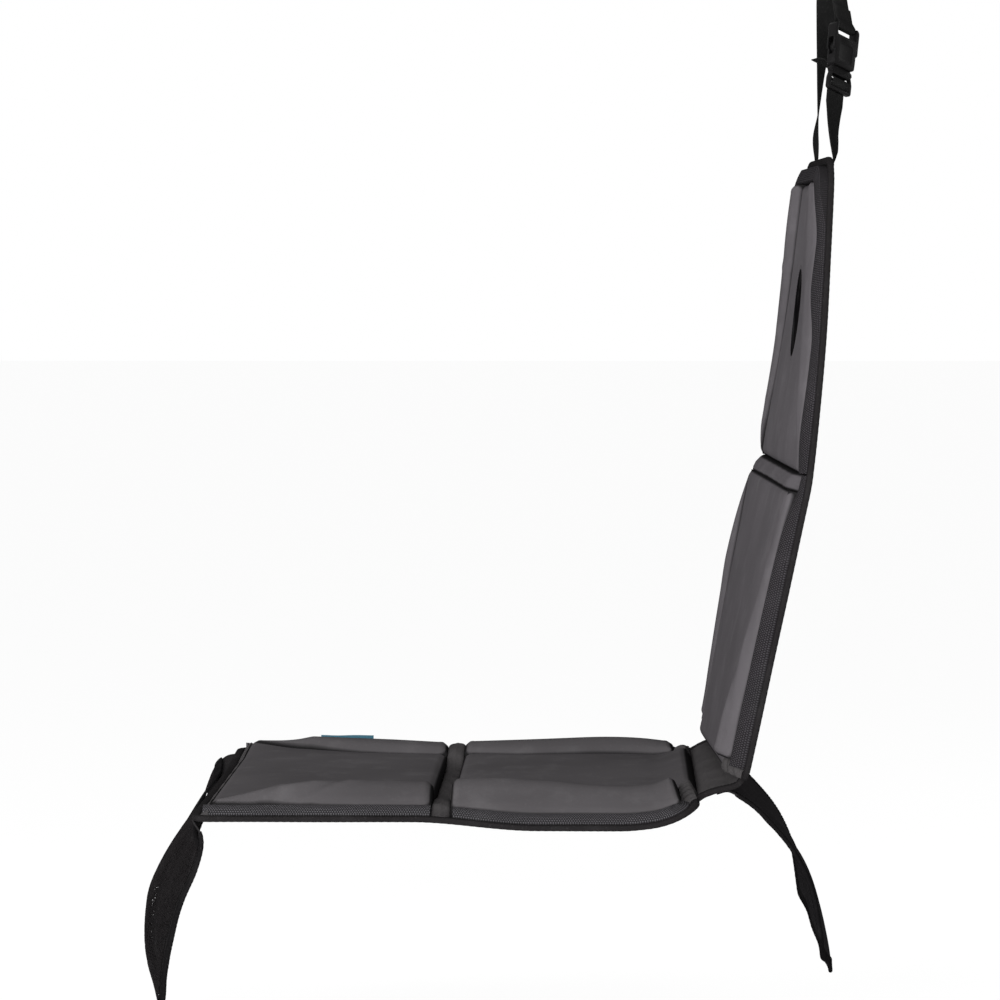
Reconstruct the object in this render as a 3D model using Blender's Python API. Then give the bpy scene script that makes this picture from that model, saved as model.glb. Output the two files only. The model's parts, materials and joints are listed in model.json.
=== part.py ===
"""A padded car seat protector mat: a seat panel and a back panel joined by a narrow neck, a front flap with a
mesh pocket, a rear flap that tucks into the seat, and a headrest strap with a side-release buckle.

Metres, +Z up. The seat faces -X, so +X is rearward and +Y is the sitter's right. The origin is at the middle
of the seat panel's flat underside. The mat is drawn flat, as (s, y, h): s runs up the mat from its front edge,
y runs across it and h is the height above its underside. lay() then bends that pattern into the seat's shape.
"""

import math

import bmesh
import bpy
from mathutils import Matrix, Vector

# Seat panel, along s from the front edge
SEAT_LENGTH = 0.495
SEAT_HALF_WIDTH = 0.235
SEAT_FRONT_CORNER = 0.018
SEAT_REAR_CORNER = 0.030
SEAT_FOLD_AT = 0.2405  # middle of the band between the two seat sections
SEAT_LIFT_LENGTH = 0.050  # the rear stretch that rises towards the neck
SEAT_LIFT_TURN = 32.0  # degrees

# Neck, the narrow strip between seat and back
NECK_HALF_WIDTH = 0.180
NECK_RISE_LENGTH = 0.026
NECK_RISE_TURN = -20.0
NECK_BITE_LENGTH = 0.018  # the tight bend into the back
NECK_NOTCH_CORNER = 0.007

# Back panel, along s from the end of the neck
BACK_LOWER_LENGTH = 0.285
BACK_UPPER_LENGTH = 0.312
BACK_LEAN = 78.4  # degrees from level, lower section
BACK_FOLD_TURN = 4.6
BACK_UPPER_TURN = 2.5
BACK_BOTTOM_HALF_WIDTH = 0.212
BACK_FOLD_HALF_WIDTH = 0.2265
BACK_SHOULDER_HALF_WIDTH = 0.207
BACK_SHOULDER_AT = 0.115  # above the fold
BACK_TOP_HALF_WIDTH = 0.116
BACK_BOTTOM_CORNER = 0.018
BACK_SIDE_CORNER = 0.30  # the gentle bends of the sides
BACK_TOP_CORNER = 0.056

# The soft mat hangs with a slight twist: the far side moves by this much for each metre of y
SEAT_SKEW = 0.020
BACK_SKEW = -0.026

# Layers, along h
BACKING_THICKNESS = 0.0020
FOLD_BAND_THICKNESS = 0.0035
FOLD_WIDTH = 0.018
NECK_THICKNESS = 0.0075
GAP = 0.0003  # between pieces that touch
SEAM_GAP = 0.0006  # between pieces sewn edge to edge

# Binding tape round the edge of the whole mat, with the edges of the layers inside it
BINDING_WIDTH = 0.0090
BINDING_TOP = 0.0062
BINDING_ROUNDING = 0.0018

# Sloping border between the binding and the bolsters
BORDER_WIDTH = 0.0150
BORDER_OUTER_HEIGHT = 0.0065

# Pads and bolsters
PAD_MARGIN = 0.0008  # from the binding at the front edge and the top
PAD_EDGE_HEIGHT = 0.0130
SEAM_HEIGHT = 0.0150  # of a bolster at its inner seam
HEIGHTS = {  # centre pad's crown, bolster's crown, border's inner edge
    "seat_front": (0.0200, 0.0300, 0.0140),
    "seat_rear": (0.0205, 0.0310, 0.0140),
    "back_lower": (0.0200, 0.0305, 0.0190),
    "back_upper": (0.0180, 0.0205, 0.0130),
}
BOLSTER_END_MARGIN = 0.016  # short of the rear edge of the seat and of the bottom of the back

# Plain sunk panel in the upper back pad
EMBOSS_AT = 0.155  # above the fold
EMBOSS_HALF_LENGTH = 0.046
EMBOSS_HALF_WIDTH = 0.030
EMBOSS_DEPTH = 0.0035

# Side tag
TAG_AT = 0.119
TAG_LENGTH = 0.057
TAG_HEIGHT = 0.0195
TAG_THICKNESS = 0.0012

# Front flap and its mesh pocket
FLAP_LENGTH = 0.258
FLAP_HALF_WIDTH = 0.205
FLAP_SHOULDER_AT = 0.085
FLAP_HIP_AT = 0.195
FLAP_HIP_HALF_WIDTH = 0.132
FLAP_END_HALF_WIDTH = 0.050
FLAP_CORNER = 0.11
FLAP_THICKNESS = 0.0016
FLAP_BINDING_WIDTH = 0.010
POCKET_CLEARANCE = 0.0016
POCKET_MOUTH_AT = 0.0035
POCKET_MOUTH_DIP = 0.026  # how much lower the mouth is at its two ends
POCKET_SWELL = 0.0042
POCKET_MOUTH_DEPTH = 0.0145
POCKET_THICKNESS = 0.0010
POCKET_HEM_WIDTH = 0.010
POCKET_HEM_THICKNESS = 0.0024

# Rear flap
REAR_FLAP_LENGTH = 0.250
REAR_FLAP_HALF_WIDTH = 0.164
REAR_FLAP_CORNER_AT = 0.188
REAR_FLAP_CORNER_HALF_WIDTH = 0.126
REAR_FLAP_END_HALF_WIDTH = 0.040
REAR_FLAP_THICKNESS = 0.0018

# Webbing
WEB_WIDTH = 0.025
WEB_THICKNESS = 0.0012
WEB_SEWN_LENGTH = 0.034
WEB_SPREAD = 0.080  # each end's distance from the middle of the mat

# Side-release buckle
SOCKET_LENGTH = 0.045
SOCKET_WIDTH = 0.036
SOCKET_NECK_WIDTH = 0.031
SOCKET_THICKNESS = 0.0110
SOCKET_WALL = 0.0022
PLUG_FRAME_LENGTH = 0.025
PLUG_WIDTH = 0.034
PLUG_THICKNESS = 0.0050
BAR = 0.0032
SLOT = 0.0050
ARM_LENGTH = 0.026
ARM_WIDTH = 0.0042
PRONG_LENGTH = 0.022
PRONG_WIDTH = 0.0050
BUCKLE_CENTRE = Vector((0.0155, -0.035, 0.1105))  # from the middle of the mat's top edge
BUCKLE_ACROSS = Vector((0.60, 0.74, -0.30))
BUCKLE_DOWN = Vector((-0.12, -0.288, -0.95))

COLOURS = {  # base colour, roughness
    "grey_laminate": ((0.110, 0.108, 0.112), 0.42),
    "side_border": ((0.045, 0.044, 0.046), 0.60),
    "black_binding": ((0.018, 0.018, 0.019), 0.70),
    "fold_cloth": ((0.040, 0.039, 0.041), 0.75),
    "non_slip_backing": ((0.022, 0.022, 0.023), 0.80),
    "pocket_mesh": ((0.012, 0.012, 0.013), 0.80),
    "webbing": ((0.015, 0.015, 0.016), 0.65),
    "buckle_plastic": ((0.013, 0.013, 0.014), 0.38),
    "tag_cloth": ((0.010, 0.110, 0.260), 0.60),
}


def clear_scene():
    for obj in list(bpy.data.objects):
        bpy.data.objects.remove(obj)


def material(name):
    found = bpy.data.materials.get(name)
    if found:
        return found
    colour, roughness = COLOURS[name]
    made = bpy.data.materials.new(name)
    made.use_nodes = True
    shader = made.node_tree.nodes["Principled BSDF"]
    shader.inputs["Base Color"].default_value = (*colour, 1.0)
    shader.inputs["Roughness"].default_value = roughness
    shader.inputs["Metallic"].default_value = 0.0
    return made


def collection(name):
    made = bpy.data.collections.new(name)
    bpy.context.scene.collection.children.link(made)
    return made


def add_object(name, data, finish, group):
    obj = bpy.data.objects.new(name, data)
    group.objects.link(obj)
    data.materials.append(material(finish))
    return obj


def face_outwards(bm):
    bmesh.ops.recalc_face_normals(bm, faces=bm.faces)
    if bm.calc_volume(signed=True) < 0.0:
        bmesh.ops.reverse_faces(bm, faces=bm.faces)


def smooth_step(t):
    t = min(1.0, max(0.0, t))
    return t * t * (3.0 - 2.0 * t)


def spline(points, steps):
    """A Catmull-Rom curve through points (vectors or tuples), with that many steps to each span."""
    points = [Vector(p) for p in points]
    padded = [2 * points[0] - points[1], *points, 2 * points[-1] - points[-2]]
    curve = []
    for a, b, c, d in zip(padded, padded[1:], padded[2:], padded[3:]):
        for i in range(steps):
            t = i / steps
            curve.append(
                0.5 * ((2 * b) + (c - a) * t + (2 * a - 5 * b + 4 * c - d) * t**2 + (3 * b - a - 3 * c + d) * t**3)
            )
    return [*curve, points[-1]]


def along(points, share):
    """The point at that share of a polyline's length."""
    lengths = [(b - a).length for a, b in zip(points, points[1:])]
    left = share * sum(lengths)
    for a, b, length in zip(points, points[1:], lengths):
        if left <= length:
            return a.lerp(b, left / length)
        left -= length
    return points[-1]


# The side view of the mat's underside, as stretches of a length and a turn in degrees
NECK_START = SEAT_LENGTH
NECK_END = NECK_START + NECK_RISE_LENGTH + NECK_BITE_LENGTH
BACK_FOLD_START = NECK_END + BACK_LOWER_LENGTH
BACK_FOLD_END = BACK_FOLD_START + FOLD_WIDTH
MAT_END = BACK_FOLD_END + BACK_UPPER_LENGTH
STRAIGHT_STEP = 0.060
BEND_STEP = 0.0095


def spine():
    """Stations of the side view: (s, point, height direction, skew)."""
    bite_turn = BACK_LEAN - SEAT_LIFT_TURN - NECK_RISE_TURN
    stretches = (
        (SEAT_LENGTH - SEAT_LIFT_LENGTH, 0.0, STRAIGHT_STEP),
        (SEAT_LIFT_LENGTH, SEAT_LIFT_TURN, BEND_STEP),
        (NECK_RISE_LENGTH, NECK_RISE_TURN, BEND_STEP),
        (NECK_BITE_LENGTH, bite_turn, BEND_STEP / 3),
        (BACK_LOWER_LENGTH, 0.0, STRAIGHT_STEP),
        (FOLD_WIDTH, BACK_FOLD_TURN, BEND_STEP),
        (BACK_UPPER_LENGTH, BACK_UPPER_TURN, STRAIGHT_STEP),
    )
    s, angle, place = 0.0, 0.0, Vector((-SEAT_LENGTH / 2, 0.0, 0.0))
    stations = [(s, angle, place)]
    for length, turn, step in stretches:
        count = max(1, round(length / step))
        for _ in range(count):
            middle = angle + math.radians(turn) / count / 2
            place = place + Vector((math.cos(middle), 0.0, math.sin(middle))) * (length / count)
            angle += math.radians(turn) / count
            s += length / count
            stations.append((s, angle, place))
    made = []
    for s, angle, place in stations:
        share = smooth_step((s - NECK_START) / (NECK_END - NECK_START))
        skew = SEAT_SKEW + (BACK_SKEW - SEAT_SKEW) * share
        made.append((s, place, Vector((-math.sin(angle), 0.0, math.cos(angle))), skew))
    return made


SPINE = spine()


def lay(s, y, h):
    """The place in the bent mat of a point of the flat pattern."""
    index = next((i for i in range(1, len(SPINE)) if s <= SPINE[i][0]), len(SPINE) - 1)
    (s0, p0, n0, k0), (s1, p1, n1, k1) = SPINE[index - 1], SPINE[index]
    t = (s - s0) / (s1 - s0)
    place = (p0 + n0 * h).lerp(p1 + n1 * h, t)
    return place + Vector((y * (k0 + (k1 - k0) * t), y, 0.0))


def rows_between(start, end, extra=()):
    """Values of s from start to end that include every bend of the spine."""
    inner = {s for s, *_ in SPINE} | set(extra)
    margin = 0.0015
    kept = [start]
    for s in sorted(inner):
        if start + margin < s < end - margin and s - kept[-1] > margin:
            kept.append(s)
    return [*kept, end]


def rounded_outline(corners):
    """Points of a polyline whose corners, given as (a, b, radius), are turned into arcs."""
    points = []
    for i, (a, b, radius) in enumerate(corners):
        corner = Vector((a, b))
        if i in (0, len(corners) - 1) or radius == 0.0:
            points.append(corner)
            continue
        before = (Vector(corners[i - 1][:2]) - corner).normalized()
        after = (Vector(corners[i + 1][:2]) - corner).normalized()
        half = before.angle(after) / 2
        centre = corner + (before + after).normalized() * (radius / math.sin(half))
        first = corner + before * (radius / math.tan(half)) - centre
        last = corner + after * (radius / math.tan(half)) - centre
        sweep = math.atan2(first.cross(last), first.dot(last))
        steps = max(2, math.ceil(abs(sweep) / 0.32))
        for step in range(steps + 1):
            points.append(centre + Matrix.Rotation(sweep * step / steps, 2) @ first)
    return points


def with_points_at(points, values):
    """The polyline again, with a point at each value of its first coordinate."""
    made = [points[0]]
    for a, b in zip(points, points[1:]):
        low, high = sorted((a.x, b.x))
        inside = sorted(v for v in values if low + 0.002 < v < high - 0.002)
        if b.x < a.x:
            inside.reverse()
        made.extend(a.lerp(b, (v - a.x) / (b.x - a.x)) for v in inside)
        made.append(b)
    return made


def inset_outline(points, inset):
    """Each point moved inwards, square to the line there. Inwards is to the right of the way along it."""
    moved = []
    for i, point in enumerate(points):
        before = (point - points[i - 1]).normalized() if i else None
        after = (points[i + 1] - point).normalized() if i + 1 < len(points) else None
        first, last = before or after, after or before
        way = (first + last).normalized()
        mitre = 1.0 / max(0.6, way.dot(first))
        moved.append(point + Vector((way.y, -way.x)) * inset * mitre)
    return moved


def half_width(points, value):
    """The largest second coordinate of a polyline where its first one is value."""
    found = [0.0]
    for a, b in zip(points, points[1:]):
        low, high = sorted((a.x, b.x))
        if low - 1e-9 <= value <= high + 1e-9 and high - low > 1e-9:
            found.append(a.y + (b.y - a.y) * (value - a.x) / (b.x - a.x))
    return max(found)


def mat_outline(front, rear, notch, bottom):
    """Half of the whole mat's outline, from the middle of the front edge to the middle of the top."""
    corners = (
        (0.0, 0.0, 0.0),
        (0.0, SEAT_HALF_WIDTH, front),
        (SEAT_LENGTH, SEAT_HALF_WIDTH, rear),
        (SEAT_LENGTH, NECK_HALF_WIDTH, notch),
        (NECK_END, NECK_HALF_WIDTH, notch),
        (NECK_END, BACK_BOTTOM_HALF_WIDTH, bottom),
        (BACK_FOLD_END, BACK_FOLD_HALF_WIDTH, BACK_SIDE_CORNER),
        (BACK_FOLD_END + BACK_SHOULDER_AT, BACK_SHOULDER_HALF_WIDTH, BACK_SIDE_CORNER),
        (MAT_END, BACK_TOP_HALF_WIDTH, BACK_TOP_CORNER),
        (MAT_END, 0.0, 0.0),
    )
    return with_points_at(rounded_outline(corners), [s for s, *_ in SPINE])


MAT_OUTLINE = mat_outline(SEAT_FRONT_CORNER, SEAT_REAR_CORNER, NECK_NOTCH_CORNER, BACK_BOTTOM_CORNER)
PAD_OUTLINE = mat_outline(0.0, 0.0, 0.0, 0.0)  # the same with square corners, for the padding to keep to
BORDER_OUTER_INSET = BINDING_WIDTH + SEAM_GAP
BORDER_INNER_INSET = BORDER_OUTER_INSET + BORDER_WIDTH
BACKING_EDGE = inset_outline(MAT_OUTLINE, BINDING_WIDTH + SEAM_GAP)
BINDING_EDGE = inset_outline(MAT_OUTLINE, BINDING_WIDTH + PAD_MARGIN)
BOLSTER_EDGE = inset_outline(PAD_OUTLINE, BORDER_INNER_INSET + SEAM_GAP)


def grid_block(name, across, rows, place, finish, group, layers=1):
    """A cube cut into a grid, with each vertex moved to place(across value, row value, share of height)."""
    mesh = bpy.data.meshes.new(name)
    bm = bmesh.new()
    bmesh.ops.create_cube(bm, size=1.0, matrix=Matrix.Translation((0.5, 0.5, 0.5)))
    for axis, cells in enumerate((len(across) - 1, len(rows) - 1, layers)):
        edges = [e for e in bm.edges if abs((e.verts[0].co - e.verts[1].co)[axis]) > 0.5]
        if cells > 1:
            bmesh.ops.subdivide_edges(bm, edges=edges, cuts=cells - 1, use_grid_fill=True)
    for vert in bm.verts:
        u = across[round(vert.co.x * (len(across) - 1))]
        v = rows[round(vert.co.y * (len(rows) - 1))]
        vert.co = place(u, v, vert.co.z)
    face_outwards(bm)
    bm.to_mesh(mesh)
    bm.free()
    mesh.shade_smooth()
    mesh.set_sharp_from_angle(angle=math.radians(40))
    return add_object(name, mesh, finish, group)


SIDES = (("left", -1.0), ("right", 1.0))
FLAT_ACROSS = (-1.0, 0.0, 1.0)
NECK_ACROSS = tuple(i / 5 for i in range(-5, 6))  # finer, because the twist is taken up here
PAD_ACROSS = (-1.0, -0.93, -0.70, -0.30, 0.30, 0.70, 0.93, 1.0)
EMBOSSED_ACROSS = (-1.0, -0.93, -0.70, -0.45, -0.27, -0.12, 0.0, 0.12, 0.27, 0.45, 0.70, 0.93, 1.0)
BOLSTER_ACROSS = (0.0, 0.08, 0.25, 0.50, 0.78, 1.0)


def backing(name, start, end, group):
    """A flat sheet of the non-slip backing, up to the binding."""

    def place(u, s, layer):
        width = half_width(BACKING_EDGE, s)
        if name == "neck_backing":
            width = NECK_HALF_WIDTH - BINDING_WIDTH - SEAM_GAP
        return lay(s, u * width, layer * BACKING_THICKNESS)

    corners = [p.x for p in BACKING_EDGE if start < p.x < end]
    across = NECK_ACROSS if name == "neck_backing" else FLAT_ACROSS
    return grid_block(name, across, rows_between(start, end, corners), place, "non_slip_backing", group)


def seam(stations):
    """The seam between a centre pad and its bolsters: half-width against share of the section's length."""
    values = spline([(share, width, 0.0) for share, width in stations], 6)

    def at(share):
        for a, b in zip(values, values[1:]):
            if share <= b.x:
                return a.y + (b.y - a.y) * max(0.0, share - a.x) / max(b.x - a.x, 1e-9)
        return values[-1].y

    return at


# Each padded section: its start, its end, and its seam's half-widths against shares of its length
PAD_SEATING = BACKING_THICKNESS + GAP
FRONT_PAD_START = BINDING_WIDTH + PAD_MARGIN
SEAT_FOLD_START = SEAT_FOLD_AT - FOLD_WIDTH / 2
SEAT_FOLD_END = SEAT_FOLD_AT + FOLD_WIDTH / 2
SECTIONS = {
    "seat_front": (
        FRONT_PAD_START,
        SEAT_FOLD_START - SEAM_GAP,
        seam(((0.0, 0.205), (0.25, 0.186), (0.55, 0.155), (0.8, 0.143), (1.0, 0.141))),
    ),
    "seat_rear": (
        SEAT_FOLD_END + SEAM_GAP,
        NECK_START - SEAM_GAP,
        seam(((0.0, 0.146), (0.25, 0.136), (0.6, 0.145), (0.85, 0.138), (1.0, 0.132))),
    ),
    "back_lower": (
        NECK_END + SEAM_GAP,
        BACK_FOLD_START - SEAM_GAP,
        seam(((0.0, 0.148), (0.2, 0.152), (0.5, 0.160), (0.8, 0.172), (1.0, 0.192))),
    ),
    "back_upper": (
        BACK_FOLD_END + SEAM_GAP,
        MAT_END - BINDING_WIDTH - PAD_MARGIN,
        seam(((0.0, 0.196), (0.2, 0.160), (0.5, 0.112), (0.8, 0.074), (1.0, 0.040))),
    ),
}


def emboss(s, y):
    """Depth of the plain lens-shaped panel that is sunk into the upper back pad."""
    a = (s - BACK_FOLD_END - EMBOSS_AT) / EMBOSS_HALF_LENGTH
    b = y / EMBOSS_HALF_WIDTH
    return EMBOSS_DEPTH * smooth_step(3.0 * (1.0 - math.hypot(a, b)))


BOLSTER_TOP = MAT_END - BORDER_INNER_INSET - SEAM_GAP
BOLSTER_LEAST = 0.004  # the narrowest a bolster gets
CORNER_CLEAR = BORDER_INNER_INSET + 0.004


def bolster_outer(s):
    """The outer edge of the bolsters, which run straight on past the square corners."""
    if s < (NECK_START + NECK_END) / 2:
        return half_width(BOLSTER_EDGE, min(max(s, CORNER_CLEAR), SEAT_LENGTH - CORNER_CLEAR))
    return half_width(BOLSTER_EDGE, min(max(s, NECK_END + CORNER_CLEAR), BOLSTER_TOP - SEAM_GAP))


def bolster_limits(section):
    start, end, _ = SECTIONS[section]
    if section == "seat_front":
        return start + 0.004, end
    if section == "seat_rear":
        return start, end - BOLSTER_END_MARGIN
    if section == "back_lower":
        return start + BOLSTER_END_MARGIN, end
    return start, BOLSTER_TOP - SEAM_GAP


def section_rows(section):
    """Rows that the pad and the bolsters of a section share, so that their seams match."""
    start, end, _ = SECTIONS[section]
    first, last = bolster_limits(section)
    extra = [first, last, first + 0.008, last - 0.008]
    extra += [p.x for p in BOLSTER_EDGE if first + 0.02 < p.x < last - 0.004]
    extra += [start + (end - start) * share for share in (0.25, 0.5, 0.75)]
    if section == "back_upper":
        middle = BACK_FOLD_END + EMBOSS_AT
        extra += [middle + EMBOSS_HALF_LENGTH * share for share in (-1.0, -0.7, -0.35, 0.0, 0.35, 0.7, 1.0)]
        extra += [BOLSTER_TOP, end - 0.006]
    if section == "seat_rear":
        extra.append(end - 0.006)
    if section == "back_lower":
        extra.append(start + 0.006)
    return rows_between(start, end, extra)


def centre_pad(section, group):
    """The middle cushion of a section, crowned across its width and rounded at its ends."""
    start, end, seam_at = SECTIONS[section]
    crown = HEIGHTS[section][0]

    def place(u, s, layer):
        share = (s - start) / (end - start)
        width = min(seam_at(share), bolster_outer(s) - BOLSTER_LEAST) - SEAM_GAP / 2
        if section == "back_upper" and s > BOLSTER_TOP:
            width = half_width(BINDING_EDGE, s)
        across = 1.0 - abs(u) ** 4
        length = 1.0 - abs(2 * share - 1) ** 10
        top = PAD_EDGE_HEIGHT + (crown - PAD_EDGE_HEIGHT) * max(0.0, across * length) ** 0.6
        if section == "back_upper":
            top -= emboss(s, u * width)
        return lay(s, u * width, PAD_SEATING + (top - PAD_SEATING) * layer)

    across = EMBOSSED_ACROSS if section == "back_upper" else PAD_ACROSS
    return grid_block(f"{section}_centre_pad", across, section_rows(section), place, "grey_laminate", group)


def bolster(section, side, sign, group):
    """A raised side cushion, crowned between its inner seam and the border."""
    start, end, seam_at = SECTIONS[section]
    _, crown, edge = HEIGHTS[section]
    first, last = bolster_limits(section)

    def place(u, s, layer):
        share = (s - first) / (last - first)
        outer = bolster_outer(s)
        inner = min(seam_at((s - start) / (end - start)), outer - BOLSTER_LEAST) + SEAM_GAP / 2
        across = math.sin(math.pi * u**0.7)
        length = 1.0 - abs(2 * share - 1) ** 8
        size = min(1.0, (outer - inner) / 0.030)
        sides = SEAM_HEIGHT + (edge - SEAM_HEIGHT) * u
        top = sides + (crown - sides) * across * math.sqrt(max(0.0, length)) * size
        return lay(s, sign * (inner + (outer - inner) * u), PAD_SEATING + (top - PAD_SEATING) * layer)

    rows = [s for s in section_rows(section) if first <= s <= last]
    return grid_block(f"{section}_{side}_bolster", BOLSTER_ACROSS, rows, place, "grey_laminate", group)


def fold_band(name, start, end, finish, group):
    """The flat cloth band between two padded sections."""

    def place(u, s, layer):
        width = half_width(BINDING_EDGE, s)
        return lay(s, u * width, PAD_SEATING + FOLD_BAND_THICKNESS * layer)

    return grid_block(name, FLAT_ACROSS, rows_between(start, end), place, finish, group)


def border(section, side, sign, group):
    """The sloping textured strip outside a bolster. It follows the mat's outline round the corners."""
    start, end, _ = SECTIONS[section]
    limits = {
        "seat_front": (SEAT_FRONT_CORNER + 0.002, end),
        "seat_rear": (start, SEAT_LENGTH - SEAT_REAR_CORNER),
        "back_lower": (NECK_END + BACK_BOTTOM_CORNER, end),
        "back_upper": (start, MAT_END - 0.012),
    }
    first, last = limits[section]
    stations = []
    for point, inner in zip(PAD_OUTLINE, inset_outline(PAD_OUTLINE, 1.0)):
        if first + 0.004 < point.x < last - (0.0 if section == "back_upper" else 0.004):
            stations.append((point, inner - point))
    square = Vector((0.0, -1.0))
    stations.insert(0, (Vector((first, half_width(PAD_OUTLINE, first))), square))
    if section != "back_upper":
        stations.append((Vector((last, half_width(PAD_OUTLINE, last))), square))
    widths = (0.0, 0.5, 1.0)
    edge = HEIGHTS[section][2]
    heights = (edge, edge * 0.62 + BORDER_OUTER_HEIGHT * 0.38, BORDER_OUTER_HEIGHT)

    def place(u, index, layer):
        point, inwards = stations[index]
        inset = BORDER_INNER_INSET + (BORDER_OUTER_INSET - BORDER_INNER_INSET) * u
        spot = point + inwards * inset
        top = heights[widths.index(u)]
        return lay(spot.x, sign * spot.y, PAD_SEATING + (top - PAD_SEATING) * layer)

    return grid_block(
        f"{section}_{side}_border", widths, range(len(stations)), place, "side_border", group
    )


def tape(name, path, profile, cyclic, place, finish, group):
    """A band of constant section along a flat path, then bent: path gives (a, b), profile (inset, height)."""
    section = bpy.data.curves.new(name + "_section", "CURVE")
    section.dimensions = "2D"
    edge = section.splines.new("POLY")
    edge.points.add(len(profile) - 1)
    for point, (inset, height) in zip(edge.points, profile):
        point.co = (inset, height, 0.0, 1.0)
    edge.use_cyclic_u = True
    section_object = bpy.data.objects.new(name + "_section", section)
    group.objects.link(section_object)

    line = bpy.data.curves.new(name + "_line", "CURVE")
    line.dimensions = "2D"
    line.bevel_mode = "OBJECT"
    line.bevel_object = section_object
    line.use_fill_caps = not cyclic
    run = line.splines.new("POLY")
    run.points.add(len(path) - 1)
    for point, spot in zip(run.points, path):
        point.co = (spot.x, spot.y, 0.0, 1.0)
    run.use_cyclic_u = cyclic
    line_object = bpy.data.objects.new(name + "_line", line)
    group.objects.link(line_object)

    bpy.context.view_layer.update()
    graph = bpy.context.evaluated_depsgraph_get()
    mesh = bpy.data.meshes.new_from_object(line_object.evaluated_get(graph))
    mesh.name = name
    bpy.data.objects.remove(line_object)
    bpy.data.objects.remove(section_object)
    bm = bmesh.new()
    bm.from_mesh(mesh)
    bmesh.ops.remove_doubles(bm, verts=bm.verts, dist=1e-6)
    for vert in bm.verts:
        vert.co = place(*vert.co)
    face_outwards(bm)
    bm.to_mesh(mesh)
    bm.free()
    mesh.shade_smooth()
    mesh.set_sharp_from_angle(angle=math.radians(40))
    return add_object(name, mesh, finish, group)


def folded_tape(width, wall, low, high, slot_low, slot_high):
    """The section of a tape folded over an edge: (distance in from the edge, height)."""
    return (
        (0.0, low),
        (0.0, high - wall),
        (wall, high),
        (width, high),
        (width, slot_high),
        (wall, slot_high),
        (wall, slot_low),
        (width, slot_low),
        (width, low),
    )


def mat_binding(group):
    """One long tape folded over the edge of the whole mat."""
    half = MAT_OUTLINE[1:-1]
    path = [*half, *(Vector((p.x, -p.y)) for p in reversed(half))]
    profile = (
        (0.0, 0.0),
        (0.0, BINDING_TOP - BINDING_ROUNDING),
        (BINDING_ROUNDING, BINDING_TOP),
        (BINDING_WIDTH - BINDING_ROUNDING, BINDING_TOP),
        (BINDING_WIDTH, BINDING_TOP - BINDING_ROUNDING / 2),
        (BINDING_WIDTH, 0.0),
    )
    return tape("edge_binding", path, profile, True, lay, "black_binding", group)


def neck_panel(group):
    """The thin padded strip that joins the seat to the back."""
    start, end = NECK_START + SEAM_GAP, NECK_END - SEAM_GAP

    def place(u, s, layer):
        width = NECK_HALF_WIDTH - BINDING_WIDTH - PAD_MARGIN
        share = (s - start) / (end - start)
        rounding = (1.0 - abs(2 * share - 1) ** 6) * (1.0 - abs(u) ** 8)
        top = BACKING_THICKNESS + (NECK_THICKNESS - BACKING_THICKNESS) * (0.45 + 0.55 * rounding)
        return lay(s, u * width, PAD_SEATING + (top - PAD_SEATING) * layer)

    return grid_block("neck_panel", NECK_ACROSS, rows_between(start, end), place, "fold_cloth", group)


def side_tag(group):
    """A blank cloth tag that stands in the seam of the right-hand binding."""

    def place(u, s, layer):
        edge = half_width(MAT_OUTLINE, s) - BINDING_WIDTH / 2
        lean = 0.10 * (layer - 0.5)
        low, height = BINDING_TOP + GAP, TAG_HEIGHT * layer
        return lay(s, edge + (u - 0.5) * TAG_THICKNESS + lean * TAG_HEIGHT, low + height)

    rows = rows_between(TAG_AT - TAG_LENGTH / 2, TAG_AT + TAG_LENGTH / 2)
    return grid_block("side_tag", (0.0, 1.0), rows, place, "tag_cloth", group, layers=3)


def offset_surface(surface, a, b, h):
    """A point h off a surface, along its normal. The normal points to the side that h counts from."""
    step = 1e-4
    da = surface(a + step, b) - surface(max(0.0, a - step), b)
    db = surface(a, b + step) - surface(a, b - step)
    return surface(a, b) + da.cross(db).normalized() * h


# Front flap: side views of its middle and of its edge, from the front edge of the seat, as (x, z)
FLAP_SEWN_X = -0.0014
FLAP_SEWN_Z = 0.0018
FLAP_MIDDLE = (
    (FLAP_SEWN_X, FLAP_SEWN_Z),
    (-0.0050, -0.0060),
    (-0.0125, -0.0200),
    (-0.0225, -0.0370),
    (-0.0335, -0.0550),
    (-0.0450, -0.0750),
    (-0.0590, -0.1050),
    (-0.0640, -0.1370),
    (-0.0640, -0.1670),
    (-0.0600, -0.1950),
    (-0.0560, -0.2320),
)
FLAP_SIDE = (
    (FLAP_SEWN_X, FLAP_SEWN_Z),
    (-0.0014, -0.0022),
    (0.0006, -0.0068),
    (0.0045, -0.0160),
    (0.0040, -0.0300),
    (-0.0040, -0.0520),
    (-0.0180, -0.0840),
    (-0.0260, -0.1250),
    (-0.0330, -0.1640),
    (-0.0390, -0.2150),
)
FLAP_SKEW_END = -0.130  # the flap swings as it hangs, its right-hand side forwards
# Rear flap: the same, from the point of the neck's underside that it is sewn to
REAR_FLAP_MIDDLE = (
    (0.000, 0.000),
    (0.012, 0.0026),
    (0.026, -0.002),
    (0.038, -0.012),
    (0.049, -0.026),
    (0.063, -0.044),
    (0.078, -0.060),
    (0.092, -0.083),
    (0.102, -0.106),
    (0.112, -0.137),
    (0.122, -0.166),
    (0.127, -0.186),
    (0.129, -0.204),
)
REAR_FLAP_EDGE = (
    (0.000, 0.000),
    (0.012, 0.0026),
    (0.026, -0.006),
    (0.043, -0.018),
    (0.061, -0.034),
    (0.077, -0.053),
    (0.088, -0.076),
    (0.091, -0.099),
    (0.087, -0.124),
    (0.078, -0.152),
    (0.066, -0.190),
)


def side_view(points):
    return spline([(x, 0.0, z) for x, z in points], 8)


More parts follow.
